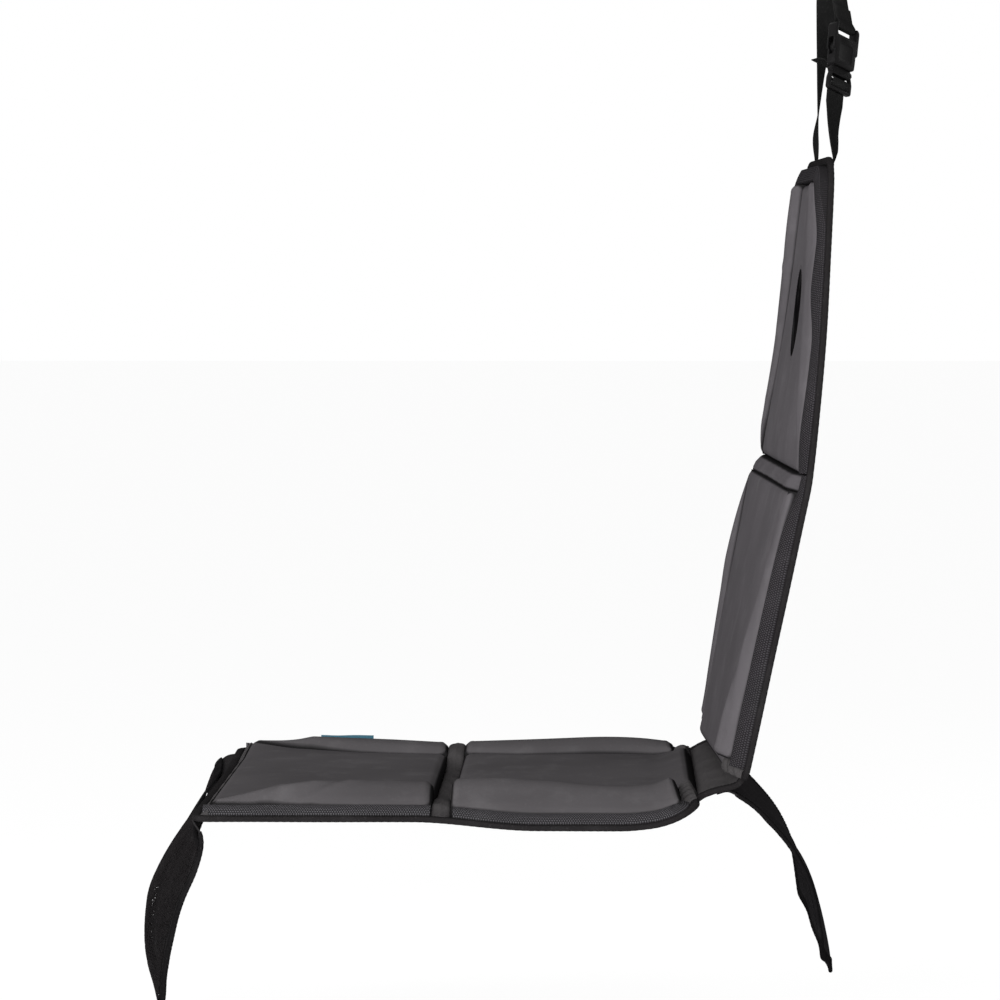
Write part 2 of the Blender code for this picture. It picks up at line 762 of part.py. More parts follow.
def curled_sheet(middle, edge, length, width, anchor, skew, end_skew):
    """A surface whose side view goes from middle at y = 0 to edge at y = width, as surface(d, y)."""
    middle, edge = side_view(middle), side_view(edge)

    def surface(d, y):
        share = min(1.0, max(0.0, d / length))
        place = along(middle, share).lerp(along(edge, share), min(1.0, (y / width) ** 2))
        over = d - share * length
        return anchor + place + Vector((y * (skew + (end_skew - skew) * share), y, -over))

    return surface


FRONT_EDGE = Vector((-SEAT_LENGTH / 2, 0.0, 0.0))
front_flap_surface = curled_sheet(
    FLAP_MIDDLE, FLAP_SIDE, FLAP_LENGTH, FLAP_HALF_WIDTH, FRONT_EDGE, SEAT_SKEW, FLAP_SKEW_END
)
FLAP_OUTLINE = with_points_at(
    rounded_outline(
        (
            (0.0, FLAP_HALF_WIDTH, 0.0),
            (FLAP_SHOULDER_AT, FLAP_HALF_WIDTH, FLAP_CORNER),
            (FLAP_HIP_AT, FLAP_HIP_HALF_WIDTH, FLAP_CORNER),
            (FLAP_LENGTH, FLAP_END_HALF_WIDTH, FLAP_CORNER / 3),
            (FLAP_LENGTH, 0.0, 0.0),
        )
    ),
    [FLAP_LENGTH * i / 13 for i in range(13)],
)

REAR_FLAP_SEWN_AT = NECK_START + NECK_RISE_LENGTH * 0.55
REAR_FLAP_SEATING = 3 * GAP + REAR_FLAP_THICKNESS / 2
rear_flap_surface = curled_sheet(
    REAR_FLAP_MIDDLE,
    REAR_FLAP_EDGE,
    REAR_FLAP_LENGTH,
    REAR_FLAP_HALF_WIDTH,
    lay(REAR_FLAP_SEWN_AT, 0.0, -REAR_FLAP_SEATING),
    0.0,
    0.0,
)
REAR_FLAP_OUTLINE = with_points_at(
    rounded_outline(
        (
            (0.0, REAR_FLAP_HALF_WIDTH, 0.0),
            (REAR_FLAP_CORNER_AT, REAR_FLAP_CORNER_HALF_WIDTH, 0.012),
            (REAR_FLAP_LENGTH, REAR_FLAP_END_HALF_WIDTH, 0.020),
            (REAR_FLAP_LENGTH, 0.0, 0.0),
        )
    ),
    [REAR_FLAP_LENGTH * i / 13 for i in range(13)],
)
SHEET_ACROSS = (-1.0, -0.93, -0.75, -0.50, -0.25, 0.0, 0.25, 0.50, 0.75, 0.93, 1.0)
FLAP_WALL = 0.0007


def flap_rows(outline, start, end):
    values = sorted({0.003, 0.007, 0.012, *(round(p.x, 5) for p in outline if start < p.x < end)})
    kept = [start]
    for value in values:
        if value - kept[-1] > 0.0015 and end - value > 0.0015:
            kept.append(value)
    return [*kept, end]


def flap_sheet(name, surface, outline, thickness, finish, group):
    edge = inset_outline(outline, FLAP_WALL + GAP)
    end = edge[-1].x

    def place(u, d, layer):
        return offset_surface(surface, d, u * half_width(edge, d), (layer - 0.5) * thickness)

    return grid_block(name, SHEET_ACROSS, flap_rows(edge, 0.0, end), place, finish, group)


def flap_binding(name, surface, outline, thickness, first, group):
    """A tape folded over the two sides and the bottom of a flap."""
    side = [p for p in outline[:-1] if p.x > first]
    bottom = [Vector((side[-1].x, side[-1].y * u)) for u in SHEET_ACROSS[1:-1]]
    path = [*side, *reversed(bottom), *(Vector((p.x, -p.y)) for p in reversed(side))]
    high = thickness / 2 + 3 * GAP
    profile = folded_tape(FLAP_BINDING_WIDTH, FLAP_WALL, -high - FLAP_WALL, high + FLAP_WALL, -high, high)

    def place(a, b, h):
        return offset_surface(surface, a, b, h)

    return tape(name, path, profile, False, place, "black_binding", group)


POCKET_EDGE = inset_outline(FLAP_OUTLINE, FLAP_BINDING_WIDTH + SEAM_GAP)


def pocket_sheet(name, start, end, thickness, group, finish):
    """A strip of the pocket's front, from start to end below its mouth."""
    bottom = POCKET_EDGE[-1].x
    shares = [start + (end - start) * i / 12 for i in range(13)] if end - start > 0.5 else [start, end]

    def place(u, share, layer):
        mouth = POCKET_MOUTH_AT + POCKET_MOUTH_DIP * u * u
        d = mouth + (bottom - mouth) * share
        y = u * half_width(POCKET_EDGE, d)
        swell = POCKET_MOUTH_DEPTH * (1.0 - share) + 4.0 * POCKET_SWELL * share * (1.0 - share)
        h = FLAP_THICKNESS / 2 + POCKET_CLEARANCE + (1.0 - u * u) * swell + layer * thickness
        return offset_surface(front_flap_surface, d, y, -h)

    return grid_block(name, SHEET_ACROSS, shares, place, finish, group)


def ribbon(name, stations, group):
    """A webbing: stations are (point, direction across it)."""
    points = [p for p, _ in stations]

    def place(u, index, layer):
        before = points[max(0, index - 1)]
        after = points[min(len(points) - 1, index + 1)]
        across = stations[index][1]
        out = (after - before).cross(across).normalized()
        return points[index] + across * (u * WEB_WIDTH / 2) + out * ((layer - 0.5) * WEB_THICKNESS)

    return grid_block(name, (-1.0, 0.0, 1.0), range(len(points)), place, "webbing", group)


MAT_TOP = lay(MAT_END, 0.0, 0.0)


def buckle_frame():
    """The buckle's place: x across it, y up its length and z out of its face."""
    across = BUCKLE_ACROSS.normalized()
    up = -(BUCKLE_DOWN - across * BUCKLE_DOWN.dot(across)).normalized()
    turn = Matrix((across, up, across.cross(up))).transposed().to_4x4()
    return Matrix.Translation(MAT_TOP + BUCKLE_CENTRE) @ turn


BUCKLE = buckle_frame()
ACROSS_MAT = Vector((BACK_SKEW, 1.0, 0.0)).normalized()
ACROSS_BUCKLE = BUCKLE.to_3x3() @ Vector((1.0, 0.0, 0.0))
WEB_SEATING = GAP + WEB_THICKNESS / 2


WEB_TILT = -0.42  # the buckle hangs at a slant from the webbing: its sideways shift for each metre up


def in_buckle(up, out, tilt=0.0):
    return BUCKLE @ Vector((tilt * max(0.0, up - SOCKET_LENGTH / 2), up, out))


def sewn_end(side):
    """Points of the webbing's end on the rear of the mat, from its tip to the mat's top edge."""
    y = side * WEB_SPREAD
    tip = MAT_END - WEB_SEWN_LENGTH
    return [(lay(tip + WEB_SEWN_LENGTH * i / 3, y, -WEB_SEATING), ACROSS_MAT) for i in range(4)]


def smooth_ribbon(stations, steps):
    """Stations between the given ones, with the direction across kept square to the path up to the buckle."""
    points = spline([p for p, _ in stations], steps)
    across = spline([w for _, w in stations], steps)
    squared = [across[0]]
    for i in range(1, len(points) - 1):
        way = (points[i + 1] - points[i - 1]).normalized()
        square = (across[i] - way * across[i].dot(way)).normalized()
        squared.append(square.lerp(across[i], smooth_step(1.0 - (len(points) - 1 - i) / (2 * steps))))
    return list(zip(points, [*squared, across[-1]]))


def belt(pins, radius):
    """A path round pins, given as (x, y, side): side is 1 with the pin on the left, -1 on the right, 0 for an end."""
    places = [Vector(pin[:2]) for pin in pins]
    reach = [pin[2] * radius for pin in pins]
    normals = []
    for c0, c1, r0, r1 in zip(places, places[1:], reach, reach[1:]):
        way = c1 - c0
        angle = math.atan2(way.y, way.x) + math.acos((r1 - r0) / way.length)
        normals.append(angle)
    path = [places[0]]
    for centre, r, first, last in zip(places[1:-1], reach[1:-1], normals, normals[1:]):
        if r == 0.0:
            path.append(centre)
            continue
        sweep = (last - first + math.pi) % (2 * math.pi) - math.pi
        if abs(sweep) < 0.05:
            continue
        steps = math.ceil(abs(sweep) / 0.6)
        for i in range(steps + 1):
            angle = first + sweep * i / max(1, steps)
            path.append(centre - Vector((math.cos(angle), math.sin(angle))) * r)
    path.append(places[-1])
    return path


# Heights up the buckle, from its middle, and distances out from its middle plane
SOCKET_TOP = SOCKET_LENGTH / 2
SOCKET_BOTTOM = -SOCKET_LENGTH / 2
SOCKET_BAR_HALF = PLUG_THICKNESS / 2 + 0.0002
PLUG_SHOULDER = SOCKET_BOTTOM - 0.0004
PLUG_BOTTOM = SOCKET_BOTTOM - PLUG_FRAME_LENGTH
LOWER_SLOT = PLUG_BOTTOM + BAR
MIDDLE_BAR = LOWER_SLOT + SLOT
UPPER_SLOT = MIDDLE_BAR + BAR
PLUG_BODY = UPPER_SLOT + SLOT
WEB_CLEARANCE = GAP + WEB_THICKNESS / 2 + 0.0001
WEB_PAIR = WEB_THICKNESS / 2 + GAP


def buckle_stations(path, tilt=0.0):
    return [(in_buckle(up, out, tilt), ACROSS_BUCKLE) for up, out in path]


def headrest_strap(group):
    """From the mat's far top corner, round the headrest, down to the buckle and round the socket's bar."""
    bar_bottom = SOCKET_TOP - BAR
    wrap = belt(
        (
            (SOCKET_TOP + 0.018, -WEB_PAIR, 0),
            (SOCKET_TOP + 0.006, -WEB_PAIR - WEB_CLEARANCE, 1),
            (SOCKET_TOP, -SOCKET_BAR_HALF, -1),
            (bar_bottom, -SOCKET_BAR_HALF, -1),
            (bar_bottom, SOCKET_BAR_HALF, -1),
            (SOCKET_TOP, SOCKET_BAR_HALF, -1),
            (SOCKET_TOP + 0.006, WEB_PAIR + WEB_CLEARANCE, 1),
            (SOCKET_TOP + 0.018, WEB_PAIR, 0),
        ),
        WEB_CLEARANCE,
    )
    loop = [
        *sewn_end(1.0),
        (MAT_TOP + Vector((-0.0022, 0.076, 0.022)), Vector((-0.14, 1.0, 0.0))),
        (MAT_TOP + Vector((-0.0005, 0.066, 0.048)), Vector((0.08, 1.0, 0.0))),
        (MAT_TOP + Vector((0.0010, 0.050, 0.090)), Vector((0.35, 0.9, 0.0))),
        (MAT_TOP + Vector((0.0040, 0.036, 0.140)), Vector((0.70, 0.6, 0.0))),
        (MAT_TOP + Vector((0.0070, 0.027, 0.180)), Vector((1.0, 0.15, 0.0))),
        (MAT_TOP + Vector((0.0090, 0.017, 0.205)), Vector((1.0, 0.0, 0.0))),
        (MAT_TOP + Vector((0.0100, 0.003, 0.2155)), Vector((1.0, 0.0, 0.0))),
        (MAT_TOP + Vector((0.0090, -0.013, 0.206)), Vector((1.0, 0.10, 0.0))),
        (MAT_TOP + Vector((0.0090, -0.023, 0.184)), Vector((0.88, 0.45, 0.0))),
        (in_buckle(SOCKET_TOP + 0.030, -WEB_PAIR, WEB_TILT), ACROSS_BUCKLE),
        (in_buckle(SOCKET_TOP + 0.018, -WEB_PAIR, WEB_TILT), ACROSS_BUCKLE),
    ]
    return ribbon("headrest_strap", [*smooth_ribbon(loop, 3)[:-1], *buckle_stations(wrap, WEB_TILT)], group)


def adjusting_strap(group):
    """From the mat's near top corner through the plug's ladder lock, with a free tail behind the buckle."""
    half = PLUG_THICKNESS / 2
    weave = belt(
        (
            (PLUG_BOTTOM - 0.012, -half - 0.0006, 0),
            (PLUG_BOTTOM, -half, 1),
            (LOWER_SLOT, -half, 1),
            (MIDDLE_BAR, half, -1),
            (UPPER_SLOT, half, -1),
            (PLUG_BODY, -half, 1),
            (SOCKET_BOTTOM, -SOCKET_THICKNESS / 2, 1),
            (SOCKET_BOTTOM + 0.010, -SOCKET_THICKNESS / 2 - WEB_CLEARANCE - 0.0006, 0),
            (SOCKET_BOTTOM + 0.018, -SOCKET_THICKNESS / 2 - 0.0040, 0),
            (SOCKET_BOTTOM + 0.027, -SOCKET_THICKNESS / 2 - 0.0110, 0),
        ),
        WEB_CLEARANCE,
    )
    lead = [
        *sewn_end(-1.0),
        (MAT_TOP + Vector((0.0034, -0.0790, 0.010)), Vector((0.22, 1.0, 0.0))),
        (MAT_TOP + Vector((0.0028, -0.0765, 0.020)), Vector((0.36, 0.93, 0.0))),
        (MAT_TOP + Vector((0.0038, -0.0705, 0.031)), Vector((0.46, 0.88, -0.1))),
        *buckle_stations(weave[:1]),
    ]
    return ribbon("adjusting_strap", [*smooth_ribbon(lead, 4)[:-1], *buckle_stations(weave)], group)


def flat_plate(name, outlines, thickness, group):
    """A plate from closed outlines, the first round it and the others round its holes, as a mesh."""
    shape = bpy.data.curves.new(name, "CURVE")
    shape.dimensions = "2D"
    shape.fill_mode = "BOTH"
    shape.extrude = thickness / 2
    for outline in outlines:
        edge = shape.splines.new("POLY")
        edge.points.add(len(outline) - 1)
        for point, (x, y) in zip(edge.points, outline):
            point.co = (x, y, 0.0, 1.0)
        edge.use_cyclic_u = True
    drawn = bpy.data.objects.new(name + "_drawn", shape)
    group.objects.link(drawn)
    bpy.context.view_layer.update()
    graph = bpy.context.evaluated_depsgraph_get()
    mesh = bpy.data.meshes.new_from_object(drawn.evaluated_get(graph))
    mesh.name = name
    bpy.data.objects.remove(drawn)
    bm = bmesh.new()
    bm.from_mesh(mesh)
    bmesh.ops.remove_doubles(bm, verts=bm.verts, dist=1e-6)
    face_outwards(bm)
    bm.to_mesh(mesh)
    bm.free()
    obj = add_object(name, mesh, "buckle_plastic", group)
    obj.matrix_world = BUCKLE
    return obj


def mirrored(points):
    """A closed outline from its right-hand half, which runs from bottom to top."""
    return [*points, *((-x, y) for x, y in reversed(points))]


def rectangle(half, low, high):
    return [(half, low), (half, high), (-half, high), (-half, low)]


def arc(centre, radius, start, end, steps=4):
    """Points of an arc, with its angles in degrees."""
    angles = [math.radians(start + (end - start) * i / steps) for i in range(steps + 1)]
    return [(centre[0] + radius * math.cos(a), centre[1] + radius * math.sin(a)) for a in angles]


def cutter(name, size, centre, group):
    mesh = bpy.data.meshes.new(name)
    bm = bmesh.new()
    bmesh.ops.create_cube(bm, size=1.0)
    for vert in bm.verts:
        vert.co = Vector(centre) + Vector(a * b for a, b in zip(vert.co, size))
    bm.to_mesh(mesh)
    bm.free()
    obj = bpy.data.objects.new(name, mesh)
    group.objects.link(obj)
    obj.matrix_world = BUCKLE
    obj.hide_render = True
    obj.display_type = "WIRE"
    return obj


def cut(obj, tool):
    step = obj.modifiers.new(tool.name, "BOOLEAN")
    step.operation = "DIFFERENCE"
    step.object = tool


CAVITY_HALF = SOCKET_NECK_WIDTH / 2 - SOCKET_WALL
CAVITY_THICKNESS = PLUG_THICKNESS + 0.0012
WEB_SLOT_HALF = WEB_WIDTH / 2 + 0.0012
SHOULDER_REACH = SOCKET_NECK_WIDTH / 2 + 0.0006  # the arms' buttons stand a little out of the side windows


def buckle_socket(group, cutters):
    """The female half: a flat housing, open below, with a window in each side and a bar for the webbing."""
    top, bottom = SOCKET_LENGTH / 2, -SOCKET_LENGTH / 2
    step = bottom + SOCKET_LENGTH * 0.36
    wide, narrow, corner = SOCKET_WIDTH / 2, SOCKET_NECK_WIDTH / 2, 0.0045
    right = [
        (narrow - 0.0035, bottom),
        (narrow - 0.0012, bottom + 0.004),
        (narrow, bottom + 0.009),
        (narrow, step - 0.0012),
        (wide, step + 0.0012),
        *arc((wide - corner, top - corner), corner, 0.0, 90.0),
    ]
    slot_top = top - BAR
    hole = rectangle(WEB_SLOT_HALF, slot_top - SLOT * 1.15, slot_top)
    obj = flat_plate("buckle_socket", [mirrored(right), hole], SOCKET_THICKNESS, group)
    roof = slot_top - SLOT * 1.15 - SOCKET_WALL
    depth = roof - bottom
    mouth = 0.004
    cavity = cutter(
        "socket_cavity",
        (2 * CAVITY_HALF, depth + mouth, CAVITY_THICKNESS),
        (0.0, bottom + (depth - mouth) / 2, 0.0),
        cutters,
    )
    window_low, window_high = bottom + 0.011, bottom + 0.0285
    window = cutter(
        "socket_windows",
        (2 * SOCKET_WIDTH, window_high - window_low, CAVITY_THICKNESS),
        (0.0, (window_low + window_high) / 2, 0.0),
        cutters,
    )
    cut(obj, cavity)
    cut(obj, window)
    lowered = (SOCKET_THICKNESS - PLUG_THICKNESS) / 2 - 0.0002
    for face in (-1.0, 1.0):
        relief = cutter(
            f"bar_relief_{'front' if face > 0 else 'rear'}",
            (2 * WEB_SLOT_HALF, BAR * 2, lowered * 2),
            (0.0, top, face * SOCKET_THICKNESS / 2),
            cutters,
        )
        cut(obj, relief)
    return obj


def buckle_plug(group):
    """The male half: a ladder lock, a guide prong and two springy arms with buttons, moulded as one."""
    half = PLUG_WIDTH / 2
    outer = CAVITY_HALF - GAP
    arm_top = PLUG_SHOULDER + ARM_LENGTH
    button_low, button_high = -SOCKET_LENGTH / 2 + 0.0118, -SOCKET_LENGTH / 2 + 0.0270
    inner = outer - ARM_WIDTH
    right = [
        *arc((half - 0.003, PLUG_BOTTOM + 0.003), 0.003, -90.0, 0.0),
        (half, UPPER_SLOT),
        (half - 0.0025, PLUG_BODY + 0.002),
        (half - 0.0010, PLUG_SHOULDER - 0.004),
        (half - 0.0040, PLUG_SHOULDER),
        (outer, PLUG_SHOULDER),
        (outer, button_low),
        *arc((SHOULDER_REACH - 0.006, (button_low + button_high) / 2), 0.0060, -60.0, 60.0, 6),
        (outer, button_high),
        (outer - 0.0012, arm_top),
        (inner, arm_top),
        (inner - 0.0012, PLUG_SHOULDER + 0.004),
        (PRONG_WIDTH / 2 + 0.0015, PLUG_SHOULDER + 0.002),
        (PRONG_WIDTH / 2, PLUG_SHOULDER + 0.006),
        (PRONG_WIDTH / 2 - 0.0006, PLUG_SHOULDER + PRONG_LENGTH),
    ]
    slots = [
        rectangle(WEB_SLOT_HALF, LOWER_SLOT, LOWER_SLOT + SLOT),
        rectangle(WEB_SLOT_HALF, UPPER_SLOT, UPPER_SLOT + SLOT),
    ]
    return flat_plate("buckle_plug", [mirrored(right), *slots], PLUG_THICKNESS, group)


def build():
    clear_scene()
    mat = collection("car_seat_protector_mat")
    cutters = collection("cutters")

    inset = BINDING_WIDTH + SEAM_GAP
    backing("seat_backing", inset, NECK_START - inset, mat)
    backing("neck_backing", NECK_START - inset + GAP, NECK_END + inset - GAP, mat)
    backing("back_backing", NECK_END + inset, MAT_END - inset, mat)
    for section in SECTIONS:
        centre_pad(section, mat)
        for side, sign in SIDES:
            bolster(section, side, sign, mat)
            border(section, side, sign, mat)
    fold_band("seat_fold_band", SEAT_FOLD_START, SEAT_FOLD_END, "fold_cloth", mat)
    fold_band("back_fold_band", BACK_FOLD_START, BACK_FOLD_END, "grey_laminate", mat)
    neck_panel(mat)
    mat_binding(mat)
    side_tag(mat)

    flap_sheet("front_flap", front_flap_surface, FLAP_OUTLINE, FLAP_THICKNESS, "non_slip_backing", mat)
    flap_binding("front_flap_binding", front_flap_surface, FLAP_OUTLINE, FLAP_THICKNESS, 0.020, mat)
    hem_end = POCKET_HEM_WIDTH / FLAP_LENGTH
    mesh_start = (POCKET_HEM_WIDTH + SEAM_GAP) / FLAP_LENGTH
    pocket_sheet("mesh_pocket_hem", 0.0, hem_end, POCKET_HEM_THICKNESS, mat, "black_binding")
    pocket_sheet("mesh_pocket", mesh_start, 1.0, POCKET_THICKNESS, mat, "pocket_mesh")
    flap_sheet("rear_flap", rear_flap_surface, REAR_FLAP_OUTLINE, REAR_FLAP_THICKNESS, "fold_cloth", mat)
    flap_binding("rear_flap_binding", rear_flap_surface, REAR_FLAP_OUTLINE, REAR_FLAP_THICKNESS, 0.020, mat)

    headrest_strap(mat)
    adjusting_strap(mat)
    buckle_socket(mat, cutters)
    buckle_plug(mat)


build()
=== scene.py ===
# Padded car seat mat: seat and back panels with bolsters, netting pocket, tuck-in flap, headrest strap
import json
import math
import time

import bmesh
import bpy
import numpy as np
from mathutils import Matrix, Vector

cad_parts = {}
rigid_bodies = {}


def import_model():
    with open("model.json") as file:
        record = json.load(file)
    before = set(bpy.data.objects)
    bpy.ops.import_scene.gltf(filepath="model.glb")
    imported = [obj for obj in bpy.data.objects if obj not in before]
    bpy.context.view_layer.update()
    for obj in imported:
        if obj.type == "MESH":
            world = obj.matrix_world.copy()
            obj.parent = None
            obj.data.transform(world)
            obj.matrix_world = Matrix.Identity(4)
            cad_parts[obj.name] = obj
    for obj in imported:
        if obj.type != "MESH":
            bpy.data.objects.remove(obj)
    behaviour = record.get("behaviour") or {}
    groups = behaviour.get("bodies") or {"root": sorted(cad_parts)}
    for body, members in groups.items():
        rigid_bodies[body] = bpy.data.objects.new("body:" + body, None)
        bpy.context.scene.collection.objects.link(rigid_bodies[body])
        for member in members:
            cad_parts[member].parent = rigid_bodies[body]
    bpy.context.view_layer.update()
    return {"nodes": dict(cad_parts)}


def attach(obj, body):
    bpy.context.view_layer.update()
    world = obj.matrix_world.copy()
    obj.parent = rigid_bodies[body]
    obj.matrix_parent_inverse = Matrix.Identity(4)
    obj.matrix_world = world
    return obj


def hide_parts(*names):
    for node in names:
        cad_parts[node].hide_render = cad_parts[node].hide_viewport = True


for startObject in list(bpy.data.objects):
    bpy.data.objects.remove(startObject)
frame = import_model()
print("frame loaded:", len(frame["nodes"]), "nodes")

# ---- camera, light and floor

studio = {
    "cameraPlace": (0.08002452, -3.735, 0.52582143),
    "cameraTurn": (90.0 - 3.51, 0.0, 0.547),
    "lens": 132.05,
    "floorHeight": -0.262,
    "floorColour": (0.93, 0.93, 0.93, 1.0),
    "worldStrength": 0.38,
}


def addCamera():
    data = bpy.data.cameras.new("photoCamera")
    data.lens = studio["lens"]
    data.sensor_width = 36.0
    data.clip_end = 60.0
    camera = bpy.data.objects.new("photoCamera", data)
    camera.location = studio["cameraPlace"]
    camera.rotation_euler = [math.radians(a) for a in studio["cameraTurn"]]
    bpy.context.collection.objects.link(camera)
    bpy.context.scene.camera = camera


def addLamp(name, place, aim, size, power, colour=(1.0, 1.0, 1.0)):
    data = bpy.data.lights.new(name, "AREA")
    data.shape = "RECTANGLE"
    data.size, data.size_y = size
    data.energy = power
    data.color = colour
    lamp = bpy.data.objects.new(name, data)
    lamp.location = place
    way = Vector(aim) - Vector(place)
    lamp.rotation_euler = way.to_track_quat("-Z", "Y").to_euler()
    bpy.context.collection.objects.link(lamp)


def addFloor():
    mesh = bpy.data.meshes.new("floor")
    half = 30.0
    z = studio["floorHeight"]
    mesh.from_pydata([(-half, -half, z), (half, -half, z), (half, half, z), (-half, half, z)], [], [(0, 1, 2, 3)])
    floor = bpy.data.objects.new("floor", mesh)
    bpy.context.collection.objects.link(floor)
    paint = bpy.data.materials.new("floorPaint")
    paint.use_nodes = True
    nodes, links = paint.node_tree.nodes, paint.node_tree.links
    shader = nodes["Principled BSDF"]
    shader.inputs["Base Color"].default_value = studio["floorColour"]
    shader.inputs["Roughness"].default_value = 0.9
    glow = nodes.new("ShaderNodeEmission")
    glow.inputs["Strength"].default_value = 1.06
    path = nodes.new("ShaderNodeLightPath")
    mix = nodes.new("ShaderNodeMixShader")
    seen = nodes.new("ShaderNodeMath")
    seen.operation = "MULTIPLY"
    seen.inputs[1].default_value = 0.86  # the rest keeps the object's shadow
    shown = nodes.new("ShaderNodeMath")
    shown.operation = "MAXIMUM"
    also = nodes.new("ShaderNodeMath")
    also.operation = "MAXIMUM"
    links.new(path.outputs["Is Camera Ray"], shown.inputs[0])
    links.new(path.outputs["Is Transmission Ray"], shown.inputs[1])
    links.new(shown.outputs[0], also.inputs[0])
    links.new(path.outputs["Is Glossy Ray"], also.inputs[1])
    links.new(also.outputs[0], seen.inputs[0])
    links.new(seen.outputs[0], mix.inputs["Fac"])
    links.new(shader.outputs["BSDF"], mix.inputs[1])
    links.new(glow.outputs["Emission"], mix.inputs[2])
    links.new(mix.outputs[0], nodes["Material Output"].inputs["Surface"])
    mesh.materials.append(paint)


def addWorld():
    world = bpy.data.worlds.new("studioAir")
    world.use_nodes = True
    nodes, links = world.node_tree.nodes, world.node_tree.links
    air = nodes["Background"]
    air.inputs["Color"].default_value = (1.0, 1.0, 1.0, 1.0)
    path = nodes.new("ShaderNodeLightPath")
    strength = nodes.new("ShaderNodeMix")
    strength.data_type = "FLOAT"
    strength.inputs["A"].default_value = studio["worldStrength"]
    strength.inputs["B"].default_value = 1.0
    shown = nodes.new("ShaderNodeMath")
    shown.operation = "MAXIMUM"
    links.new(path.outputs["Is Camera Ray"], shown.inputs[0])
    links.new(path.outputs["Is Glossy Ray"], shown.inputs[1])
    links.new(shown.outputs[0], strength.inputs["Factor"])
    links.new(strength.outputs["Result"], air.inputs["Strength"])
    bpy.context.scene.world = world


addCamera()
addFloor()
addWorld()
addLamp("overheadSoftbox", (0.0, -0.9, 2.3), (0.1, 0.0, 0.1), (1.6, 1.4), 10.0)
addLamp("nearSoftbox", (-0.3, -3.1, 0.66), (0.1, 0.0, 0.2), (1.7, 0.9), 95.0)
addLamp("frontSoftbox", (-2.0, -0.9, 0.9), (0.2, 0.0, 0.3), (1.2, 1.6), 26.0)  # lights the face of the back
addLamp("rearSoftbox", (1.8, 1.4, 1.3), (0.2, 0.0, 0.3), (0.9, 1.6), 8.0)
bpy.context.scene.view_settings.view_transform = "Standard"
print("studio ready")

# ---- shader groups that several finishes share


def newGroup(name, inputs, outputs):
    group = bpy.data.node_groups.new(name, "ShaderNodeTree")
    for socketName, kind, value in inputs:
        socket = group.interface.new_socket(socketName, in_out="INPUT", socket_type=kind)
        if value is not None:
            socket.default_value = value
    for socketName, kind in outputs:
        group.interface.new_socket(socketName, in_out="OUTPUT", socket_type=kind)
    return group, group.nodes.new("NodeGroupInput"), group.nodes.new("NodeGroupOutput")


def mathNode(tree, operation, a, b=None, c=None):
    node = tree.nodes.new("ShaderNodeMath")
    node.operation = operation
    for i, value in enumerate((a, b, c)):
        if value is None:
            continue
        if isinstance(value, (int, float)):
            node.inputs[i].default_value = value
        else:
            tree.links.new(value, node.inputs[i])
    return node.outputs[0]


def mixColour(tree, factor, a, b, blend="MIX"):
    node = tree.nodes.new("ShaderNodeMix")
    node.data_type = "RGBA"
    node.blend_type = blend
    for socket, value in ((node.inputs["Factor"], factor), (node.inputs["A"], a), (node.inputs["B"], b)):
        if isinstance(value, (int, float, tuple)):
            socket.default_value = value
        else:
            tree.links.new(value, socket)
    return node.outputs["Result"]


def splitVector(tree, vector):
    node = tree.nodes.new("ShaderNodeSeparateXYZ")
    tree.links.new(vector, node.inputs[0])
    return node.outputs


def noiseNode(tree, vector, scale, detail=2.0, roughness=0.5):
    node = tree.nodes.new("ShaderNodeTexNoise")
    if isinstance(scale, (int, float)):
        node.inputs["Scale"].default_value = scale
    else:
        tree.links.new(scale, node.inputs["Scale"])
    node.inputs["Detail"].default_value = detail
    node.inputs["Roughness"].default_value = roughness
    tree.links.new(vector, node.inputs["Vector"])
    return node.outputs["Fac"]


def rangeNode(tree, value, low, high, toLow=0.0, toHigh=1.0):
    node = tree.nodes.new("ShaderNodeMapRange")
    tree.links.new(value, node.inputs["Value"])
    for name, number in (("From Min", low), ("From Max", high), ("To Min", toLow), ("To Max", toHigh)):
        node.inputs[name].default_value = number
    return node.outputs["Result"]


def clothToneGroup():
    # slow colour drift, rubbed patches and a little dust, all from object space
    group, given, made = newGroup(
        "clothTone",
        [("Colour", "NodeSocketColor", (0.1, 0.1, 0.1, 1.0)), ("Drift", "NodeSocketFloat", 0.15),
         ("Rub", "NodeSocketFloat", 0.1), ("Dust", "NodeSocketFloat", 0.05), ("Vector", "NodeSocketVector", None)],
        [("Colour", "NodeSocketColor"), ("Rub Mask", "NodeSocketFloat")],
    )
    vector = given.outputs["Vector"]
    drift = rangeNode(group, noiseNode(group, vector, 9.0, 3.0), 0.3, 0.7, -1.0, 1.0)
    drift = mathNode(group, "MULTIPLY", drift, given.outputs["Drift"])
    bright = mathNode(group, "ADD", drift, 1.0)
    hsv = group.nodes.new("ShaderNodeHueSaturation")
    group.links.new(given.outputs["Colour"], hsv.inputs["Color"])
    group.links.new(bright, hsv.inputs["Value"])
    rub = rangeNode(group, noiseNode(group, vector, 34.0, 4.0, 0.62), 0.52, 0.74)
    rub = mathNode(group, "MULTIPLY", rub, given.outputs["Rub"])
    worn = mixColour(group, rub, hsv.outputs["Color"], (0.30, 0.295, 0.30, 1.0))
    dust = rangeNode(group, noiseNode(group, vector, 420.0, 1.0), 0.66, 0.80)
    dust = mathNode(group, "MULTIPLY", dust, given.outputs["Dust"])
    dusty = mixColour(group, dust, worn, (0.42, 0.41, 0.40, 1.0))
    group.links.new(dusty, made.inputs["Colour"])
    group.links.new(rub, made.inputs["Rub Mask"])
    return group


